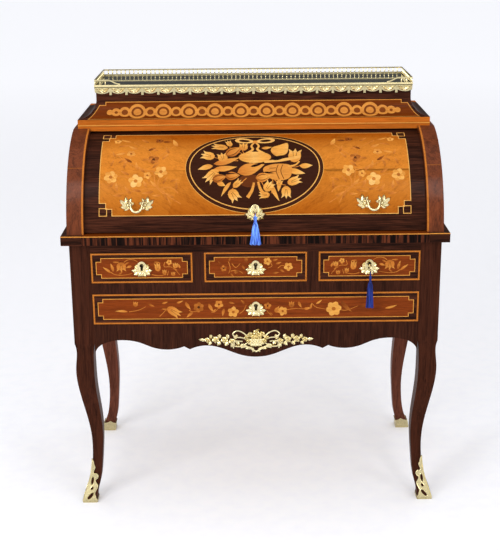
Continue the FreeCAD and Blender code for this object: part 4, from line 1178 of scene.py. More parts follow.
class DESK_OT_upper_case(bpy.types.Operator):
    """Lay the frieze's panel and chain of rings, the cornice's line and the cheeks' stringing"""
    bl_idname = "desk.upper_case"
    bl_label = "Upper case"

    def execute(self, context):
        place, length = cove_front()
        half_low, half_high = node_box("cornice")[1].x, node_box("top_board")[1].x
        low, above, beside_low, beside_high = FRIEZE_MARGINS
        high = length - above
        step_u, step_v = FRIEZE_STEP
        side = half_low - beside_low
        shoulder = half_high - beside_high
        right = [(side, low), (shoulder, high - step_v), (shoulder - step_u, high - step_v),
                 (shoulder - step_u, high)]
        ring = right + [(-u, v) for u, v in reversed(right)]
        panel = Inlay(place, CURVE_STEP / 2)
        panel.shape([ring], layer(1))
        panel.piece("frieze_panel", "frieze", "desk", "satinwood")
        inlay = Inlay(place, CURVE_STEP / 2)
        inlay.shape(ring_line(ring, string_w()), layer(2), FRIEZE_TONE)
        self.lay_chain(inlay, length / 2 - CHAIN_DROP)
        inlay.piece("frieze_inlay", "inlay", "desk", "satinwood")
        self.lay_cornice()
        self.lay_cheeks()
        return {"FINISHED"}

    def lay_chain(self, inlay, v):
        """Big rings a pitch apart, small ones between them, and smaller ones at each end."""
        for i in range(-RING_COUNT, RING_COUNT):
            self.lay_ring(inlay, RING_PITCH * (i + 0.5), v, BIG_RING, BIG_ROUNDS)
        for i in range(1 - RING_COUNT, RING_COUNT):
            self.lay_ring(inlay, RING_PITCH * i, v, SMALL_RING, SMALL_ROUNDS)
        last = RING_PITCH * (RING_COUNT - 0.5)
        for past, radius, eye in END_RINGS:
            rounds = ((1.0, 0, 2.5, 0.68, 32), (eye / radius, 0, 3, 0.36, 24))
            for side in (-1, 1):
                self.lay_ring(inlay, side * (last + past), v, radius, rounds if eye else rounds[:1])

    def lay_ring(self, inlay, u, v, radius, rounds):
        for share, line_w, level, tone, sides in rounds:
            r = radius * share
            inlay.shape(oval_line(u, v, r, r, radius * line_w, sides), layer(level), tone)

    def lay_cornice(self):
        low, high = node_box("cornice")
        joint_z = node_box("cheek_left")[1].z + CORNICE_LINE * 3
        line = Inlay(front_plane(low.y))
        line.shape([rectangle(low.x, high.x, joint_z, joint_z + CORNICE_LINE)], layer(3), CORNICE_TONE)
        line.piece("cornice_line", "inlay", "desk", "satinwood")

    def lay_cheeks(self):
        """A line up the inner edge of each cheek, and the joint across its veneer."""
        low, high = node_box("cheek_right")
        radius = max(math.hypot(p.y - AXIS_Y, p.z - AXIS_Z) for p in node_points("cheek_right")
                     if p.y < AXIS_Y - 1)
        line = Inlay(cylinder(radius), CURVE_STEP)
        v0, v1, v2 = (radius * math.radians(d) for d in (CHEEK_LOW_DEG, CHEEK_HIGH_DEG, CHEEK_JOINT_DEG))
        edge_tone, joint_tone = CHEEK_TONES
        for side in (-1, 1):
            u0, u1 = sorted((side * (low.x + CHEEK_CLEAR), side * (low.x + CHEEK_LINE)))
            line.shape([rectangle(u0, u1, v0, v1)], layer(2), edge_tone)
            u0, u1 = sorted((side * (low.x + CHEEK_LINE), side * (high.x - CHEEK_CLEAR)))
            line.shape([rectangle(u0, u1, v2, v2 + CHEEK_JOINT_W)], layer(1), joint_tone)
        line.piece("cheek_stringing", "inlay", "desk", "rosewood")


# Drawer fronts: insets from the front's edge, and each spray as (u, v, ...) from the front's middle
PANEL_INSET = 12.6
TAB = (12.0, 9.2)
BEAD_PROUD = 1.8
BEAD_TONE = 0.57
DRAWER_LINE_TONE = 0.76
DRAWER_STEM = 1.8
SPRAY_DIM = 0.1
SIDE_SPRAY = (
    (((-76, -10), (-66, -16), (-48, -18), (-24, -14)), ((-43, 15), (-33, 21), (-19, 21), (-9, 15)),
     ((57, 15), (55, 3), (74, 1), (93, -19)), ((62, -19), (65, -8)), ((24, -17), (40, -20), (60, -17))),
    ((-76, -12, 24, 6, 133, 0.86), (-70, -9, 22, 7, 96, 0.82), (-71, 16, 17, 4, -10, 0.76),
     (-24, 5, 15, 6, 188, 0.84), (93, -2, 12, 5, 98, 0.84), (-30, 15, 14, 4, 200, 0.74),
     (30, 15, 15, 5, -14, 0.76), (74, 1, 15, 4, -40, 0.74), (64, 4, 13, 4, 52, 0.78),
     (-58, -17, 14, 4, 30, 0.72)),
    ((-50, 15, 25, 24, 270, 0.82), (40, -9, 23, 15, 97, 0.88), (55, -17, 13, 11, 90, 0.84),
     (82, -1, 14, 13, 90, 0.9), (76, -21, 11, 11, 90, 0.82)),
    ((67, 14, 7, 0.82, 5),),
)
CENTRE_SPRAY = (
    (((-66, 15), (-62, -3), (-66, -16)), ((-58, 9), (-48, -1), (-38, 9)), ((-61, -10), (-45, -8),
     (-31, -16)), ((37, 9), (40, 2), (30, -3)), ((54, -4), (64, 3), (78, -1))),
    ((-33, 6, 15, 5, -70, 0.7), (49, 8, 15, 5, 6, 0.78), (41, 16, 14, 5, 6, 0.74),
     (41, -16, 16, 5, -2, 0.7), (59, -5, 14, 5, -48, 0.72), (-66, 13, 13, 4, 60, 0.68),
     (-62, -14, 13, 4, -60, 0.68), (-84, 6, 12, 4, 120, 0.6)),
    ((-40, -9, 14, 9, 200, 0.66), (-24, 12, 12, 8, 80, 0.68)),
    ((-78, -3, 8, 0.62, 5), (29, 14, 10, 0.86, 5), (80, 0, 11, 0.86, 5)),
)
LONG_SPRAY = (
    (((-313, -7), (-290, -3), (-271, 6)), ((-238, -20), (-228, -10), (-218, 2)), ((-165, -4), (-158, -8),
     (-146, -8)), ((-110, -11), (-100, -8), (-88, 6)), ((26, -6), (32, -14), (38, -20)), ((64, -10),
     (84, -4), (105, -3), (120, -4)), ((139, 10), (150, 0), (180, -6)), ((206, -6), (224, -8), (252, 3)),
     ((-40, -14), (-30, -6), (-24, 8))),
    ((-316, -7, 31, 6, 168, 0.9), (-265, 14, 17, 5, -36, 0.72), (-232, 14, 16, 5, 6, 0.8),
     (-214, -4, 19, 5, 160, 0.74), (-195, 15, 17, 5, 10, 0.84), (-173, 17, 23, 8, -68, 0.8),
     (-155, -10, 21, 7, 210, 0.8), (-116, 12, 24, 8, -72, 0.82), (-78, -1, 20, 7, 248, 0.78),
     (-67, 16, 15, 5, -24, 0.74), (-110, -11, 15, 5, 30, 0.78), (105, 16, 18, 7, -74, 0.78),
     (118, -3, 18, 7, -2, 0.82), (134, -4, 16, 5, 70, 0.82), (148, 9, 18, 5, 26, 0.92),
     (210, 16, 38, 10, -56, 0.64), (318, -4, 31, 6, 6, 0.92), (30, -8, 16, 5, -50, 0.66),
     (-28, 10, 14, 5, 120, 0.7), (252, 3, 20, 4, 350, 0.6)),
    ((-297, 6, 14, 12, 85, 0.8), (-218, 3, 40, 22, -34, 0.88), (88, 0, 17, 14, 90, 0.74),
     (46, -10, 18, 14, 30, 0.84)),
    ((-141, 3, 13, 0.6, 6), (-91, 10, 11, 0.74, 5), (-56, -10, 14, 0.86, 5), (29, 5, 9, 0.66, 5),
     (66, -9, 12, 0.84, 5), (192, -4, 19, 0.9, 6)),
)
# Which spray each drawer takes, and -1 where it is mirrored
DRAWERS = {"left": (1, SIDE_SPRAY), "centre": (1, CENTRE_SPRAY), "right": (-1, SIDE_SPRAY),
           "long": (1, LONG_SPRAY)}
KEYHOLE_BELOW = 11.4


def keyhole_v(name):
    """Height of a drawer's keyhole, from the lock plate's upper edge."""
    front = node_box(name + "_drawer_front")[0].y
    return max(p.z for p in node_points(name + "_drawer_lock") if p.y < front) - KEYHOLE_BELOW


class DESK_OT_drawers(bpy.types.Operator):
    """Dress the four drawer fronts: cockbead, stepped panel, stringing and sprays"""
    bl_idname = "desk.drawers"
    bl_label = "Drawer fronts"

    def execute(self, context):
        for name, (side, spray) in DRAWERS.items():
            self.dress(name, side, spray)
        return {"FINISHED"}

    def dress(self, name, side, spray):
        low, high = node_box(name + "_drawer_front")
        body = name + "_drawer"
        place = front_plane(low.y)
        middle_u, middle_v = (low.x + high.x) / 2, (low.z + high.z) / 2
        front = rectangle(low.x, high.x, low.z, high.z)
        bead = Build()
        profile = half_round(sizes().bead_w / MM, BEAD_PROUD)
        moulding(bead, place, lambda a: inset(front, a), profile, BEAD_TONE)
        bead.piece(body + "_cockbead", "inlay", body, "satinwood")
        margin = PANEL_INSET
        ring = stepped(low.x + margin, high.x - margin, low.z + margin, high.z - margin, TAB)
        panel = Inlay(place)
        panel.shape([ring, keyhole_ring(middle_u, keyhole_v(name))], layer(0))
        panel.piece(body + "_panel", "tulipwood", body, "marquetry")
        inlay = Inlay(place)
        inlay.shape(ring_line(ring, string_w()), layer(1), DRAWER_LINE_TONE)
        inlay.plant((middle_u, middle_v), side, layer(1), DRAWER_STEM, SPRAY_DIM, *spray)
        inlay.piece(body + "_inlay", "inlay", body, "marquetry")


# Ledge and writing slide
EDGE_STRIP = 1.8
EDGE_PROUD = 0.5
EDGE_TONE = 0.7
# How far the strip's top stands above the ledge, and the gap between the slide's strip and the ends'
EDGE_LIFT = 0.02
EDGE_GAP = 0.5
# Lines tooled on the leather: (inset, width)
TOOLING = ((9.0, 1.6), (13.0, 0.8))
# Room left for the bolt where it drops through the banding, before, behind and beside it
BOLT_ROOM = (3.5, 7.5, 2.5)


class DESK_OT_ledge(bpy.types.Operator):
    """Edge the ledge and the slide with satinwood, band the slide and tool its leather"""
    bl_idname = "desk.ledge"
    bl_label = "Ledge and slide"

    def execute(self, context):
        low, high = node_box("writing_slide")
        hide_low, hide_high = node_box("slide_leather")
        hide = rectangle(hide_low.x, hide_high.x, hide_low.y, hide_high.y)
        strip = Build()
        self.edge(strip, low.x, high.x, low.y, high.z)
        strip.piece("slide_edging", "inlay", "slide", "satinwood")
        top = Inlay(top_plane(high.z))
        bolt_low, bolt_high = node_box("fall_bolt")
        before, behind, beside = BOLT_ROOM
        top.shape([rectangle(low.x, high.x, low.y + EDGE_STRIP, high.y), hide,
                   rectangle(bolt_low.x - beside, bolt_high.x + beside,
                             bolt_low.y - before, bolt_low.y + behind)], layer(0))
        top.piece("slide_banding", "frieze", "slide", "satinwood")
        tooling = Inlay(top_plane(hide_high.z))
        for margin, width in TOOLING:
            tooling.shape([inset(hide, margin), inset(hide, margin + width)], layer(0))
        tooling.piece("slide_tooling", "gilt", "slide", "gilt_brass")
        end_low, end_high = node_box("ledge_ends")
        ends = Build()
        for x0, x1 in ((end_low.x, low.x - EDGE_GAP), (high.x + EDGE_GAP, end_high.x)):
            self.edge(ends, x0, x1, end_low.y, end_high.z)
        ends.piece("ledge_edging", "inlay", "desk", "satinwood")
        return {"FINISHED"}

    def edge(self, build, x0, x1, y, z):
        """A strip let in along the top of the front edge, its arris eased."""
        under, top, front = z - EDGE_STRIP, z + EDGE_LIFT, y - EDGE_PROUD
        profile = [(y, under), (front, under), (front, z - EDGE_PROUD), (y, top), (y + EDGE_STRIP, top),
                   (y + EDGE_STRIP, under)]
        build.loft([[(x, *at) for at in profile] for x in (x0, x1)], EDGE_TONE)


# Gilt mounts of the drawers and the fall
SHIELD = (12.2, 15.2)
SHIELD_RIM = 4.4
SHIELD_RISE = 4.0
DISH_RISE = 2.6
# Leaves right of an escutcheon's middle: (u, v, length, width, degrees)
SHIELD_LEAVES = (
    (8, -2, 17, 9, 40), (7, -4, 21, 10, -2), (5, -5, 20, 10, -36), (2, -6, 16, 9, -66),
    (10, 5, 12, 7, 56), (0, -6, 13, 8, -90),
)
LEAF_RISE = 3.2
# The keyhole stands this far above the middle of the leaves, on a drawer and on the fall
KEYHOLE_UP = 10.6
FALL_KEYHOLE_UP = 4.3
# The middle of the shield above the middle of the leaves
SHIELD_UP = 7.0
LEAF_SWING = 0.16
# Rim round a keyhole: its width, and how far it stands above the dish
KEYHOLE_RIM = (1.0, 0.6)
# Eased edges of a lock's case
CASE_EASE = 0.6


def cast_escutcheon(build, place, u, v, key_v):
    """An oval shield with a keyhole, over a fan of acanthus leaves."""
    for side in (1, -1):
        cast_leaves(build, place, u, v, SHIELD_LEAVES, side, LEAF_RISE, LEAF_SWING)
    shield_v = v + SHIELD_UP
    ru, rv = SHIELD
    moulding(build, place, lambda a: ellipse(u, shield_v, ru - a, rv - a, 40),
             half_round(SHIELD_RIM, SHIELD_RISE))
    rim_w, rim_up = KEYHOLE_RIM
    dish = Inlay(place)
    dish.shape([ellipse(u, shield_v, ru - rim_w, rv - rim_w, 40), keyhole_ring(u, key_v)], DISH_RISE)
    build.put(dish.points, dish.faces)
    moulding(build, place, lambda a: inset(keyhole_ring(u, key_v), a - rim_w),
             half_round(rim_w, DISH_RISE + rim_up))


def lock_case(build, low, high):
    """A box with eased upright edges."""
    e = CASE_EASE
    ring = [(low.x + e, low.y), (high.x - e, low.y), (high.x, low.y + e), (high.x, high.y - e),
            (high.x - e, high.y), (low.x + e, high.y), (low.x, high.y - e), (low.x, low.y + e)]
    build.loft([[(x, y, z) for x, y in ring] for z in (low.z, high.z)])


# A handle's cluster of leaves, from its foot: (u, v, length, width, degrees)
HANDLE_FOOT = 20.0
HANDLE_LEAVES = ((0, 2, 19, 9, 104), (2, 2, 22, 10, 64), (4, 0, 24, 10, 26), (3, -3, 19, 9, -16),
                 (1, -4, 15, 9, -54), (-3, 2, 13, 9, 150), (-2, -3, 11, 8, 226))
HANDLE_RISE = 2.8
HANDLE_SWING = 0.2
# The boss on each foot: (radius, rise), and how far the handle's feet stand below its middle
HANDLE_BOSS = (5.0, 7.0)
HANDLE_DROP = 3.0
# The bail of a handle as (u, v, out, radius), from its middle to one end
BAIL = (
    (0, -18, 15, 3.3), (7, -16, 15, 3.3), (12.5, -9, 13.5, 3.4), (14.5, 0, 11, 3.5), (17.5, 6, 8.5, 3.4),
    (21, 8, 6, 2.4),
)


class DESK_OT_mounts(bpy.types.Operator):
    """Cast the escutcheons, the lock cases and the two handles of the fall"""
    bl_idname = "desk.mounts"
    bl_label = "Locks and handles"

    def execute(self, context):
        for name in DRAWERS:
            self.drawer_lock(name)
        self.fall_plate()
        for node in ("fall_handle_left", "fall_handle_right"):
            self.handle(node)
        return {"FINISHED"}

    def drawer_lock(self, name):
        node = name + "_drawer_lock"
        low, high = node_box(node)
        front_low, front_high = node_box(name + "_drawer_front")
        cast = Build()
        key_v = keyhole_v(name)
        cast_escutcheon(cast, front_plane(front_low.y), (low.x + high.x) / 2, key_v - KEYHOLE_UP, key_v)
        lock_case(cast, *corners([p for p in node_points(node) if p.y > front_high.y - 0.1]))
        piece = cast.piece(name + "_drawer_mount", "gilt", name + "_drawer", "gilt_brass")
        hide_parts(node)

    def fall_plate(self):
        key_v = FALL_R * KEY_ANGLE
        cast = Build()
        cast_escutcheon(cast, cylinder(FALL_R), 0, key_v - FALL_KEYHOLE_UP, key_v)
        piece = cast.piece("fall_mount", "gilt", "fall", "gilt_brass")
        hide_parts("fall_escutcheon")

    def handle(self, node):
        low, high = node_box(node)
        middle = (low.x + high.x) / 2
        height = math.asin(((low.z + high.z) / 2 - AXIS_Z) / FALL_R) * FALL_R - HANDLE_DROP
        place = cylinder(FALL_R)
        cast = Build()
        for end in (-1, 1):
            foot = middle + end * HANDLE_FOOT
            cast_leaves(cast, place, foot, height, HANDLE_LEAVES, end, HANDLE_RISE, HANDLE_SWING)
            boss(cast, place, foot, height, *HANDLE_BOSS)
        line = [(-u, v, out, r) for u, v, out, r in reversed(BAIL[1:])] + list(BAIL)
        path = smooth_path([place(middle + u, height + v, out) for u, v, out, r in line], 6)
        radii = smooth_path([Vector((r, 0, 0)) for u, v, out, r in line], 6)
        bail = Guides()
        bail.line(path, [r.x for r in radii])
        whole = joined(node + "_cast", cast.mesh(node), bail.swept(node + "_bail", 12, "gilt"))
        piece = new_piece(node + "_cast", whole, "gilt", "fall")
        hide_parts(node)


# Tassels, hung from the loop on each key: shares of the hanging length and of the widest radius
HEAD_SHARE = 0.13
NECK_SHARE = 0.2
CONE_SHARES = ((0.2, 0.2), (0.36, 0.46), (0.6, 0.7), (0.82, 0.88), (1.0, 1.0))
BELL_SHARES = ((0.22, 0.34), (0.34, 0.64), (0.6, 0.8), (0.82, 0.9), (1.0, 1.0))
STRANDS = 120
FLAT_SHARE = 0.62
STRAY = 0.05
# Each strand starts this much further round than the last
STRAND_TURN = 2.39996
# How far out strands lie, as shares of the skirt: the outermost's gain over the innermost, and the innermost;
# and how much a strand's end may be cut short
STRAND_REACH = (0.35, 0.65)
STRAND_CUT = 0.05
# The core under the strands: share of the skirt, and its head as (share of the width, share of the drop)
CORE_SHARE = 0.8
CORE_HEAD = ((0.3, HEAD_SHARE), (0.4, 0.06))
CORE_LEAST = 0.3
CORE_TIP = 0.4
# The doubled cord through the key's bow, and the thread wound round the neck
LOOP_HALF = 3.4
LOOP_R = 1.1
WRAPS = 5
WRAP_SHARE = 0.24
# Each tassel: (solid, silk, a joint, a share, cord, spread, skirt)
TASSELS = (("fall_tassel", "pale_silk", "slide_pull", 0.74, 18.0, 1.0, CONE_SHARES),
           ("drawer_tassel", "royal_silk", "long_drawer_pull", 0.62, 24.0, 1.3, BELL_SHARES))


class DESK_OT_tassels(bpy.types.Operator):
    """Hang the two silk tassels from the loops on the keys, strand by strand"""
    bl_idname = "desk.tassels"
    bl_label = "Tassels"

    def execute(self, context):
        for tassel in TASSELS:
            self.tassel(*tassel)
        return {"FINISHED"}

    def tassel(self, node, silk_name, pulled, keep, cord, spread, skirt):
        """A tassel as long as its solid, hung on a doubled cord; spread widens it."""
        low, high = node_box(node)
        ring = [p.y for p in node_points(node) if p.z > high.z - 1.0]
        top = Vector(((low.x + high.x) / 2, sum(ring) / len(ring), high.z))
        thread = sizes().thread_r / MM
        wide = (high.x - low.x) / 2 - thread
        chance = random.Random(SEED)
        guides = Guides()
        loop = ellipse(top.y, top.z - cord / 2, LOOP_HALF, cord / 2, 20)
        guides.line([(top.x, *at) for at in loop], LOOP_R, True)
        start = Vector((top.x, top.y, top.z - cord))
        drop = start.z - low.z
        for turn in range(WRAPS):
            level = drop * (HEAD_SHARE + (NECK_SHARE - HEAD_SHARE) * turn / WRAPS)
            neck = ellipse(start.x, start.y, wide * WRAP_SHARE, wide * WRAP_SHARE * FLAT_SHARE, 16)
            guides.line([(*at, start.z - level) for at in neck], thread, True)
        for i in range(STRANDS):
            self.strand(guides, start, drop, wide, skirt, i, chance)
        hung = guides.swept(node + "_strands", 5, silk_name)
        core = Build()
        profile = [(max(CORE_LEAST, wide * share * CORE_SHARE), -drop * along)
                   for along, share in reversed(skirt[:-1])]
        profile += [(wide * share, -drop * along) for share, along in CORE_HEAD] + [(CORE_TIP, 0)]
        lathe(core, profile, 18)
        core.points = [Vector((p.x, p.y * FLAT_SHARE, p.z)) + start for p in core.points]
        silk_mesh = joined(node + "_silk", hung, core.mesh(node + "_core"))
        for vertex in silk_mesh.vertices:
            vertex.co.x = (top.x + (vertex.co.x / MM - top.x) * spread) * MM
        piece = new_piece(node + "_silk", silk_mesh, silk_name, node)
        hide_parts(node)
        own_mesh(piece)


    def strand(self, guides, start, drop, wide, skirt, number, chance):
        """One strand, from under the head down to the hem, with a little stray of its own."""
        angle = number * STRAND_TURN
        spare, least = STRAND_REACH
        reach = math.sqrt((number + 0.5) / STRANDS) * spare + least
        points = []
        for along, share in skirt:
            stray = chance.uniform(-STRAY, STRAY) * along
            radius = wide * share * min(1.0, reach + stray * 0.5)
            end = 1.0 - STRAND_CUT * chance.random() * (along == 1.0)
            across = radius * math.cos(angle + stray)
            deep = radius * FLAT_SHARE * math.sin(angle + stray)
            points.append(start + Vector((across, deep, -drop * along * end)))
        guides.line(smooth_path(points, 3), sizes().thread_r / MM)


# Apron mount: a basket of flowers between two garlands, from its middle
BASKET = (22.0, 13.0)
BASKET_LOW = -7.0
BASKET_ROWS = 4
BASKET_RISE = 5.0
BASKET_FLOWER_RISE = 5.2
BASKET_FLOWERS = (
    (-15, 14, 9), (0, 19, 10), (15, 15, 9), (-25, 5, 8), (26, 6, 8), (7, 8, 9), (-7, 7, 9), (20, -4, 8),
    (-19, -4, 8), (4, 26, 5),
)
GARLAND_FLOWERS = ((60, -4, 10), (79, 0, 11), (101, 1, 11), (121, 0, 9))
GARLAND_LEAVES = (
    (52, 2, 15, 10, 100), (56, -8, 15, 10, -70), (69, 4, 14, 9, 60), (70, -6, 14, 9, -62),
    (90, 5, 13, 9, 70), (90, -5, 13, 9, -66), (111, 5, 12, 8, 64), (112, -5, 12, 8, -60),
    (127, 0, 18, 8, -4), (50, -6, 13, 9, 206),
)
RIBBONS = (((20, 8), (34, 20), (48, 24), (58, 16), (50, 8), (36, 6), (24, 2)),
           ((22, -8), (38, -17), (54, -16), (62, -9), (50, -3), (34, -4)),
           ((52, 0), (58, -12), (56, -22)))
STEMS = (((34, -12), (18, -20), (0, -31)), ((38, -20), (24, -18), (6, -24)))
STEM_LEAVES = ((14, -20, 16, 8, -28), (26, -14, 16, 8, -10), (6, -26, 9, 7, -76))
GARLAND_RISE = 4.4
GARLAND_LEAF_RISE = 3.0
RIBBON_R = 2.0
STEM_R = 2.6
GARLAND_SWING = 0.2
# Flowers turn by this many degrees, mirrored on the garlands, and by their place in the basket
GARLAND_TURN = 20.0
BASKET_TURN = 7.0
# The mount's middle, as a share of its height from its top, and its lines' height as a share of their radius
MOUNT_MIDDLE = 0.46
LINE_LIFT = 0.8
# Knots of the basket's weave: radii in its half width, and how much lower each is away from the middle
KNOTS = 5.2
KNOT_FALL = 0.08


class DESK_OT_apron_mount(bpy.types.Operator):
    """Cast the basket of flowers, garlands and ribbons on the apron"""
    bl_idname = "desk.apron_mount"
    bl_label = "Apron mount"

    def execute(self, context):
        low, high = node_box("apron_mount")
        place = front_plane(high.y, high.z - (high.z - low.z) * MOUNT_MIDDLE)
        cast = Build()
        lines = Guides()
        self.basket(cast, place)
        for side in (-1, 1):
            for u, v, radius in GARLAND_FLOWERS:
                cast_flower(cast, place, side * u, v, radius, GARLAND_RISE, 5, GARLAND_TURN * side)
            cast_leaves(cast, place, 0, 0, GARLAND_LEAVES + STEM_LEAVES, side,
                        GARLAND_LEAF_RISE, GARLAND_SWING)
            for group, radius in ((RIBBONS, RIBBON_R), (STEMS, STEM_R)):
                for points in group:
                    path = [place(side * u, v, radius * LINE_LIFT) for u, v in points]
                    lines.line(smooth_path(path, 5), radius)
        whole = joined("apron_cast", cast.mesh("apron_leaves"), lines.swept("apron_lines", 8, "gilt"))
        piece = new_piece("apron_cast", whole, "gilt", "desk")
        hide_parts("apron_mount")
        return {"FINISHED"}

    def basket(self, cast, place):
        """A woven basket, row over row, heaped with flowers."""
        ru, rv = BASKET
        for row in range(BASKET_ROWS):
            v = BASKET_LOW + rv * (0.5 - row / (BASKET_ROWS - 1))
            half = ru * math.sqrt(max(0.15, 1 - ((v - BASKET_LOW) / rv - 0.3) ** 2))
            count = 7 - row % 2
            for k in range(count):
                u = half * (2 * (k + 0.5) / count - 1)
                boss(cast, place, u, v, ru / KNOTS, BASKET_RISE - abs(u) * KNOT_FALL, 10)
        for u, v, radius in BASKET_FLOWERS:
            cast_flower(cast, place, u, v, radius, BASKET_FLOWER_RISE, 5, u * BASKET_TURN)


# Sabots: pierced leaf up the outer arris of each front leg, as (round the leg, up), right half from its top
LEAF_HALF = (
    (0, 112), (3, 104), (5, 96), (8.5, 90), (7, 84), (5, 78), (8, 73), (16, 72), (22, 67), (20, 60),
    (15, 57), (19, 50), (26, 43), (26, 34), (24, 24), (28, 15), (31, 7), (31, 0),
)
# Openings in it: (round the leg, up, half width, half height, degrees)
LEAF_HOLES = ((8.0, 54, 4.6, 11.0, 8), (12.5, 36, 5.0, 5.0, -20), (14.5, 17, 5.6, 10.5, -38))
SABOT_T = 2.0
SHOE_H = 8.0
WALK = 4.0
ROUND_R = 20.0
REAR_TOP = 31.0
REAR_DIP = 7.0
# Ribs of a rear shoe: (round the leg, top)
REAR_RIBS = ((-10, 19), (0, 25), (10, 19))
# Radii of the burnished lines: the leaf's edge and rib, its openings, a rear shoe's edge and its ribs
LEAF_LINE_R = 1.6
HOLE_LINE_R = 1.0
SHOE_LINE_R = 1.2
RIB_LINE_R = 1.3
# The plate under a foot: shares of the gap under the leg, and of the casting's thickness
SOLE_STEPS = ((0.0, 0.6), (0.3, 1.0), (1.0, 1.0))
ROUND_SIDES = 48
# Rays that find a leg's surface start this far out, from this far above its end, at this many levels
RAY_REACH = 200.0
LEVEL_START = 0.5
LEVELS = 32


def leg_surface(node, corner):
    """A surface round a leg's foot: u runs round it from one corner, v up it; h stands out from it."""
    tree = BVHTree.FromObject(NODES[node], bpy.context.evaluated_depsgraph_get())
    base = node_box(node)[0].z + LEVEL_START
    foot = [p for p in node_points(node) if p.z < base]
    middle = sum(foot, Vector()) / len(foot)

    def hit(centre, out):
        return tree.ray_cast((centre + out * RAY_REACH) * MM, -out)[0] / MM
    middles = []
    for step in range(LEVELS):
        middle = Vector((middle.x, middle.y, base + step * WALK))
        for axis in (0, 1):
            out = Vector((axis == 0, axis == 1, 0))
            middle[axis] = (hit(middle, out)[axis] + hit(middle, -out)[axis]) / 2
        middles.append(middle.copy())

    def place(u, v, h):
        at = max(0.0, min(len(middles) - 1.001, (v - base) / WALK))
        i = int(at)
        centre = middles[i].lerp(middles[i + 1], at - i)
        out = Vector((math.cos(corner + u / ROUND_R), math.sin(corner + u / ROUND_R), 0))
        point = hit(centre, out)
        return Vector((point.x, point.y, v)) + out * h
    return place


def sole(place, under):
    """The plate under a foot, from the floor up to the leg's end."""
    ring = [math.pi * ROUND_R * (2 * i / ROUND_SIDES - 1) for i in range(ROUND_SIDES)]
    plate = Build()
    plate.loft([[place(u, under * up, SABOT_T * out) for u in ring] for up, out in SOLE_STEPS])
    return plate.mesh("sole")


class DESK_OT_sabots(bpy.types.Operator):
    """Cast the pierced foot mounts of the front legs and the shoes of the rear legs"""
    bl_idname = "desk.sabots"
    bl_label = "Foot mounts"

    def execute(self, context):
        for end, cast, arris in (("front", self.pierced, -45), ("rear", self.shoe, 45)):
            shells, rims = [], Guides()
            for hand, degrees in (("left", 180 - arris), ("right", arris)):
                leg = "leg_%s_%s" % (end, hand)
                place = leg_surface(leg, math.radians(degrees))
                shell = Inlay(place, WALK, WALK)
                cast(place, shell, rims)
                shells += [shell.mesh(leg + "_shell"), sole(place, node_box(leg)[0].z)]
            node = end + "_sabots"
            casting = joined(node + "_cast", *shells)
            # The casting in the darker brass, painted shade between its bright burnished lines
            piece = new_piece(node + "_cast", casting, "dull_shaded_brass", "desk")
            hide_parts(node)
            new_piece(node + "_rims", rims.swept(node + "_rims", 7, "gilt"), "gilt", "desk")
        return {"FINISHED"}

    def pierced(self, place, shell, rims):
        """A pierced leaf up the leg's outer arris, with a low shoe round the rest of the foot."""
        right = [(p.x, p.y) for p in smooth_path([Vector((*p, 0)) for p in LEAF_HALF], 3)]
        holes = [turned(ellipse(0, 0, ru, rv, 14), math.radians(sign * degrees), sign * u, v)
                 for u, v, ru, rv, degrees in LEAF_HOLES for sign in (-1, 1)]
        shell.shape([right + [(-u, v) for u, v in reversed(right[1:])]] + holes, SABOT_T)
        edge = LEAF_HALF[-1][0] - 1
        shell.shape([rectangle(edge, 2 * math.pi * ROUND_R - edge, 0, SHOE_H)], SABOT_T * 0.9)
        for sign in (-1, 1):
            rims.line([place(sign * u, v, SABOT_T) for u, v in right[:-6]], LEAF_LINE_R)
        rims.line([place(0, v, SABOT_T * 0.7) for v in range(4, LEAF_HALF[0][1], 4)], LEAF_LINE_R)
        for hole in holes:
            rims.line([place(u, v, SABOT_T) for u, v in hole], HOLE_LINE_R, True)

    def shoe(self, place, shell, rims):
        """A scalloped cup round the foot, with short ribs on its outer arris."""
        back = math.pi * ROUND_R
        shares = [i / ROUND_SIDES for i in range(ROUND_SIDES + 1)]
        top = [(back * (1 - 2 * t), REAR_TOP - REAR_DIP * abs(math.cos(4 * math.pi * t))) for t in shares]
        shell.shape([[(-back, 0), (back, 0)] + top], SABOT_T)
        rims.line([place(u, v, SABOT_T) for u, v in top[:-1]], SHOE_LINE_R, True)
        for u, rib_top in REAR_RIBS:
            rims.line([place(u, v, SABOT_T) for v in range(3, rib_top, 3)], RIB_LINE_R)


# Gallery: one bay of its cast band, drawn from the middle of the bay: (u, v, length, width, degrees)
BAY_LEAVES = ((0, -14, 13, 5, 90), (-2, -14, 13, 4.5, 122), (2, -14, 13, 4.5, 58), (-3, -13, 12, 4.5, 156),
              (3, -13, 12, 4.5, 24), (-8, -6, 11, 4, 168), (8, -6, 11, 4, 12))
BAY_PITCH = 40.3
BAY_RISE = 1.5
# The bay's middle below the slab's top, the boss that ties its leaves as (height, radius), and their swing
BAY_DROP = 2.5
BAY_BOSS = (-14.5, 2.4)
BAY_SWING = 0.1
# Beads along the band: (depth below its top, radius)
RAIL_LINES = ((1.0, 1.5), (3.4, 1.9))
# A dark line below the beads: painted shadow, since the band is flush there
SHADOW_LINE_DROP = 6.2
SHADOW_LINE_R = 0.9
# A baluster's profile as (radius, share of its height)
BALUSTER = (
    (2.0, 0), (2.0, 0.08), (1.1, 0.14), (1.5, 0.28), (2.1, 0.42), (1.4, 0.6), (1.0, 0.82), (1.8, 0.9),
    (1.8, 1),
)
BALUSTER_UNIT = 10.0


def islands(mesh):
    """Low and high corners, in millimetres, of each loose piece of a mesh."""
    work = bmesh.new()
    work.from_mesh(mesh)
    bmesh.ops.remove_doubles(work, verts=work.verts, dist=MERGE * MM)
    seen, boxes = set(), []
    for first in work.verts:
        if first in seen:
            continue
        group, edge = {first}, [first]
        while edge:
            for link in edge.pop().link_edges:
                for vert in link.verts:
                    if vert not in group:
                        group.add(vert)
                        edge.append(vert)
        seen |= group
        boxes.append(corners([v.co / MM for v in group]))
    work.free()
    return boxes


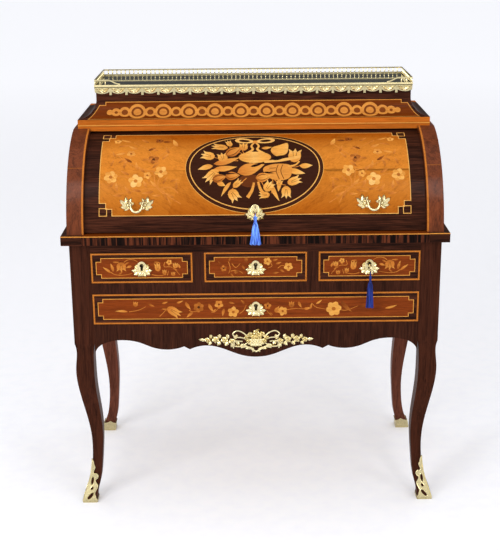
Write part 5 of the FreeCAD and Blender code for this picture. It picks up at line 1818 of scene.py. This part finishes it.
class DESK_OT_gallery(bpy.types.Operator):
    """Dress the gallery: leaves on its cast band, beads along it and turned balusters"""
    bl_idname = "desk.gallery"
    bl_label = "Gallery"

    def execute(self, context):
        low, high = node_box("gallery_band")
        self.band(low, high)
        # A line of dark brass round the band: painted shadow below the beads
        hollow = Guides()
        self.around(hollow, low, high, SHADOW_LINE_DROP, SHADOW_LINE_R)
        new_piece("gallery_hollow", hollow.swept("gallery_hollow", 8, "painted_shadow_brass"), "painted_shadow_brass", "desk")
        self.posts()
        return {"FINISHED"}

    def band(self, low, high):
        """A bay of leaves, repeated along each side, and the beads over them."""
        level = node_box("marble_top")[1].z - BAY_DROP
        bay = Build()
        for u, v, length, width, degrees in BAY_LEAVES:
            cast_leaf(bay, front_plane(0), u, v, length, width, degrees, BAY_RISE, BAY_SWING, steps=4)
        tie_v, tie_r = BAY_BOSS
        boss(bay, front_plane(0), 0, tie_v, tie_r, BAY_RISE, 8)
        places = []
        ring = [Vector(p) for p in rectangle(low.x, high.x, low.y, high.y)]
        for side, start in enumerate(ring):
            run = ring[(side + 1) % len(ring)] - start
            count = round(run.length / BAY_PITCH)
            for i in range(count):
                at = start + run * ((i + 0.5) / count)
                places.append(((*at, level), side * math.pi / 2, (1, 1, 1)))
        leaves = repeated("gallery_leaves", bay.mesh("gallery_bay"), places, "gilt")
        beads = Guides()
        for drop, radius in RAIL_LINES:
            self.around(beads, low, high, drop, radius)
        whole = joined("gallery_dress", leaves, beads.swept("gallery_beads", 8, "gilt"))
        new_piece("gallery_dress", whole, "gilt", "desk")

    def around(self, guides, low, high, drop, radius):
        """A line round the band, some way below its top."""
        guides.line([(*p, high.z - drop) for p in rectangle(low.x, high.x, low.y, high.y)], radius, True)

    def posts(self):
        """A turned baluster in place of each plain one."""
        post = Build()
        lathe(post, [(r, h * BALUSTER_UNIT) for r, h in BALUSTER], 8)
        places = []
        for foot, head in islands(NODES["gallery_balusters"].data):
            middle = (foot + head) / 2
            places.append(((middle.x, middle.y, foot.z), 0, (1, 1, (head.z - foot.z) / BALUSTER_UNIT)))
        posts = repeated("gallery_posts", post.mesh("gallery_post"), places, "gilt")
        piece = new_piece("gallery_posts", posts, "gilt", "desk")
        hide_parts("gallery_balusters")


# Stage: the place of the lens, found from the straight edges of the case, and the studio round the desk
LENS_PLACE = Vector((-20.8, -2899.7, 1456.0))
LENS_YAW = 0.0026
LENS_PITCH = 0.3036
LENS_ROLL = -0.0091
LENS_LENGTH = 82.81
SENSOR_W = 36.0
FLOOR_HALF = 40000.0
# Glow of the paper near the desk and far off, and where it starts and ends to rise
PAPER_LIFT = 0.125
FAR_LIFT = 0.35
LIFT_START = 700.0
LIFT_END = 8000.0
FIBRE = 40.0
# Light from behind and above, and from the room by the camera; it changes between these directions' y
WORLD_LIGHT = 0.9
ROOM_LIGHT = 0.25
ROOM_TURN = (-0.9, 0.1)
# What the camera sees past the floor
BACKDROP = 0.97
# How bright the room looks in the polished brass, which mirrors the white reflectors by the camera
ROOM_MIRRORED = 1.2
# The dark studio above the paper, mirrored in the marble
WORLD_MIRRORED = 0.12
DESK_MIDDLE = (0, 0, 650)
# Each softbox: (name, place, width, height, watts)
SOFTBOXES = (
    ("key", (-2300, -2900, 2000), 1500, 1500, 54),
    ("fill", (2500, -2600, 1700), 1300, 1300, 20),
    ("overhead", (0, -300, 3400), 2600, 1800, 12),
    ("left_strip", (-900, -2070, 2830), 300, 1300, 11),
    ("right_strip", (900, -2070, 2830), 300, 1300, 11),
)


def lens_turn():
    level = math.cos(LENS_PITCH)
    ahead = Vector((math.sin(LENS_YAW) * level, math.cos(LENS_YAW) * level, -math.sin(LENS_PITCH)))
    right = Vector((math.cos(LENS_YAW), -math.sin(LENS_YAW), 0))
    up = right.cross(ahead)
    right, up = (right * math.cos(LENS_ROLL) + up * math.sin(LENS_ROLL),
                 up * math.cos(LENS_ROLL) - right * math.sin(LENS_ROLL))
    return Matrix((right, up, -ahead)).transposed()


def softbox(name, place, width, height, watts):
    light = bpy.data.lights.new(name, "AREA")
    light.shape = "RECTANGLE"
    light.size = width * MM
    light.size_y = height * MM
    light.energy = watts
    lamp = bpy.data.objects.new(name, light)
    lamp.location = Vector(place) * MM
    lamp.rotation_euler = (Vector(DESK_MIDDLE) - Vector(place)).to_track_quat("-Z", "Y").to_euler()
    bpy.context.scene.collection.objects.link(lamp)


class DESK_OT_stage(bpy.types.Operator):
    """Set the pale floor, the soft studio light and the camera"""
    bl_idname = "desk.stage"
    bl_label = "Stage"

    def execute(self, context):
        scene = context.scene
        scene.view_settings.view_transform = "Standard"
        sheet = Build()
        sheet.put([(x * FLOOR_HALF, y * FLOOR_HALF, 0) for x, y in rectangle(-1, 1, -1, 1)], [[0, 1, 2, 3]])
        floor = bpy.data.objects.new("studio_floor", sheet.mesh("studio_floor"))
        floor.data.materials.append(self.paper())
        scene.collection.objects.link(floor)
        self.light(scene)
        camera = bpy.data.cameras.new("camera")
        camera.sensor_fit = "HORIZONTAL"
        camera.sensor_width = SENSOR_W
        camera.lens = LENS_LENGTH
        camera.clip_end = 2 * FLOOR_HALF * MM
        stand = bpy.data.objects.new("camera", camera)
        stand.location = LENS_PLACE * MM
        stand.rotation_euler = lens_turn().to_euler()
        scene.collection.objects.link(stand)
        scene.camera = stand
        return {"FINISHED"}

    def paper(self):
        """White studio paper: matt, and seen a little brighter far off, where the softboxes do not reach."""
        material, tree = blank("studio_paper")
        fibre = add(tree, "ShaderNodeTexNoise", {"Scale": 1.0}, {"Vector": in_sizes(tree, [FIBRE] * 3)})
        tint = add(tree, "ShaderNodeValToRGB", {"stops": stops((0.3, "#eeeff4"), (0.7, "#f2f3f8"))},
                   {"Fac": fibre.outputs["Fac"]}).outputs["Color"]
        rays = add(tree, "ShaderNodeLightPath")
        seen = rays.outputs["Is Camera Ray"]
        for ray in ("Is Glossy Ray", "Is Transmission Ray"):
            either = add(tree, "ShaderNodeMath", {"operation": "MAXIMUM"}, {0: seen, 1: rays.outputs[ray]})
            seen = either.outputs[0]
        coords = add(tree, "ShaderNodeTexCoord")
        away = add(tree, "ShaderNodeVectorMath", {"operation": "LENGTH"}, {0: coords.outputs["Object"]})
        level = add(tree, "ShaderNodeMapRange", {"From Min": LIFT_START * MM, "From Max": LIFT_END * MM,
                                                 "To Min": PAPER_LIFT, "To Max": FAR_LIFT},
                    {"Value": away.outputs["Value"]})
        lift = add(tree, "ShaderNodeMath", {"operation": "MULTIPLY"}, {0: seen, 1: level.outputs["Result"]})
        surface(tree, {"Roughness": 0.9, "Specular IOR Level": 0.1},
                {"Base Color": tint, "Emission Color": tint, "Emission Strength": lift.outputs[0]})
        return material

    def light(self, scene):
        """Bright paper behind and above, a dimmer room behind the camera, and the softboxes."""
        world = bpy.data.worlds.new("studio")
        world.use_nodes = True
        tree = world.node_tree
        tree.nodes.clear()
        around = add(tree, "ShaderNodeTexCoord")
        parts = add(tree, "ShaderNodeSeparateXYZ", None, {0: around.outputs["Generated"]})
        rays = add(tree, "ShaderNodeLightPath")
        room, behind = (add(tree, "ShaderNodeMix", {"data_type": "FLOAT", 2: lit, 3: mirrored},
                            {"Factor": rays.outputs["Is Glossy Ray"]}).outputs[0]
                        for lit, mirrored in ((ROOM_LIGHT, ROOM_MIRRORED), (WORLD_LIGHT, WORLD_MIRRORED)))
        near, far = ROOM_TURN
        level = add(tree, "ShaderNodeMapRange", {"From Min": near, "From Max": far},
                    {"Value": parts.outputs["Y"], "To Min": room, "To Max": behind})
        seen = add(tree, "ShaderNodeMix", {"data_type": "FLOAT", 3: BACKDROP},
                   {"Factor": rays.outputs["Is Camera Ray"], 2: level.outputs["Result"]})
        sky = add(tree, "ShaderNodeBackground", {"Color": linear("#ffffff")}, {"Strength": seen.outputs[0]})
        add(tree, "ShaderNodeOutputWorld", None, {"Surface": sky.outputs[0]})
        scene.world = world
        for box in SOFTBOXES:
            softbox(*box)


class DESK_PT_panel(bpy.types.Panel):
    bl_idname = "DESK_PT_panel"
    bl_label = "Cylinder desk"
    bl_space_type = "VIEW_3D"
    bl_region_type = "UI"
    bl_category = "Desk"

    def draw(self, context):
        layout = self.layout
        for group in (context.scene.desk_colours, context.scene.desk_sizes):
            for name in group.__annotations__:
                layout.prop(group, name)
        for operator in OPERATORS:
            layout.operator(operator.bl_idname)


OPERATORS = (DESK_OT_finishes, DESK_OT_fall, DESK_OT_upper_case, DESK_OT_drawers, DESK_OT_ledge,
             DESK_OT_mounts, DESK_OT_tassels, DESK_OT_apron_mount, DESK_OT_sabots, DESK_OT_gallery,
             DESK_OT_stage)
CLASSES = (DeskColours, DeskSizes) + OPERATORS + (DESK_PT_panel,)


def register():
    for cls in CLASSES:
        bpy.utils.register_class(cls)
    bpy.types.Scene.desk_colours = bpy.props.PointerProperty(type=DeskColours)
    bpy.types.Scene.desk_sizes = bpy.props.PointerProperty(type=DeskSizes)


def unregister():
    del bpy.types.Scene.desk_sizes
    del bpy.types.Scene.desk_colours
    for cls in reversed(CLASSES):
        bpy.utils.unregister_class(cls)


def main():
    register()
    for operator in OPERATORS:
        module, name = operator.bl_idname.split(".")
        getattr(getattr(bpy.ops, module), name)()


if __name__ == "__main__":
    main()
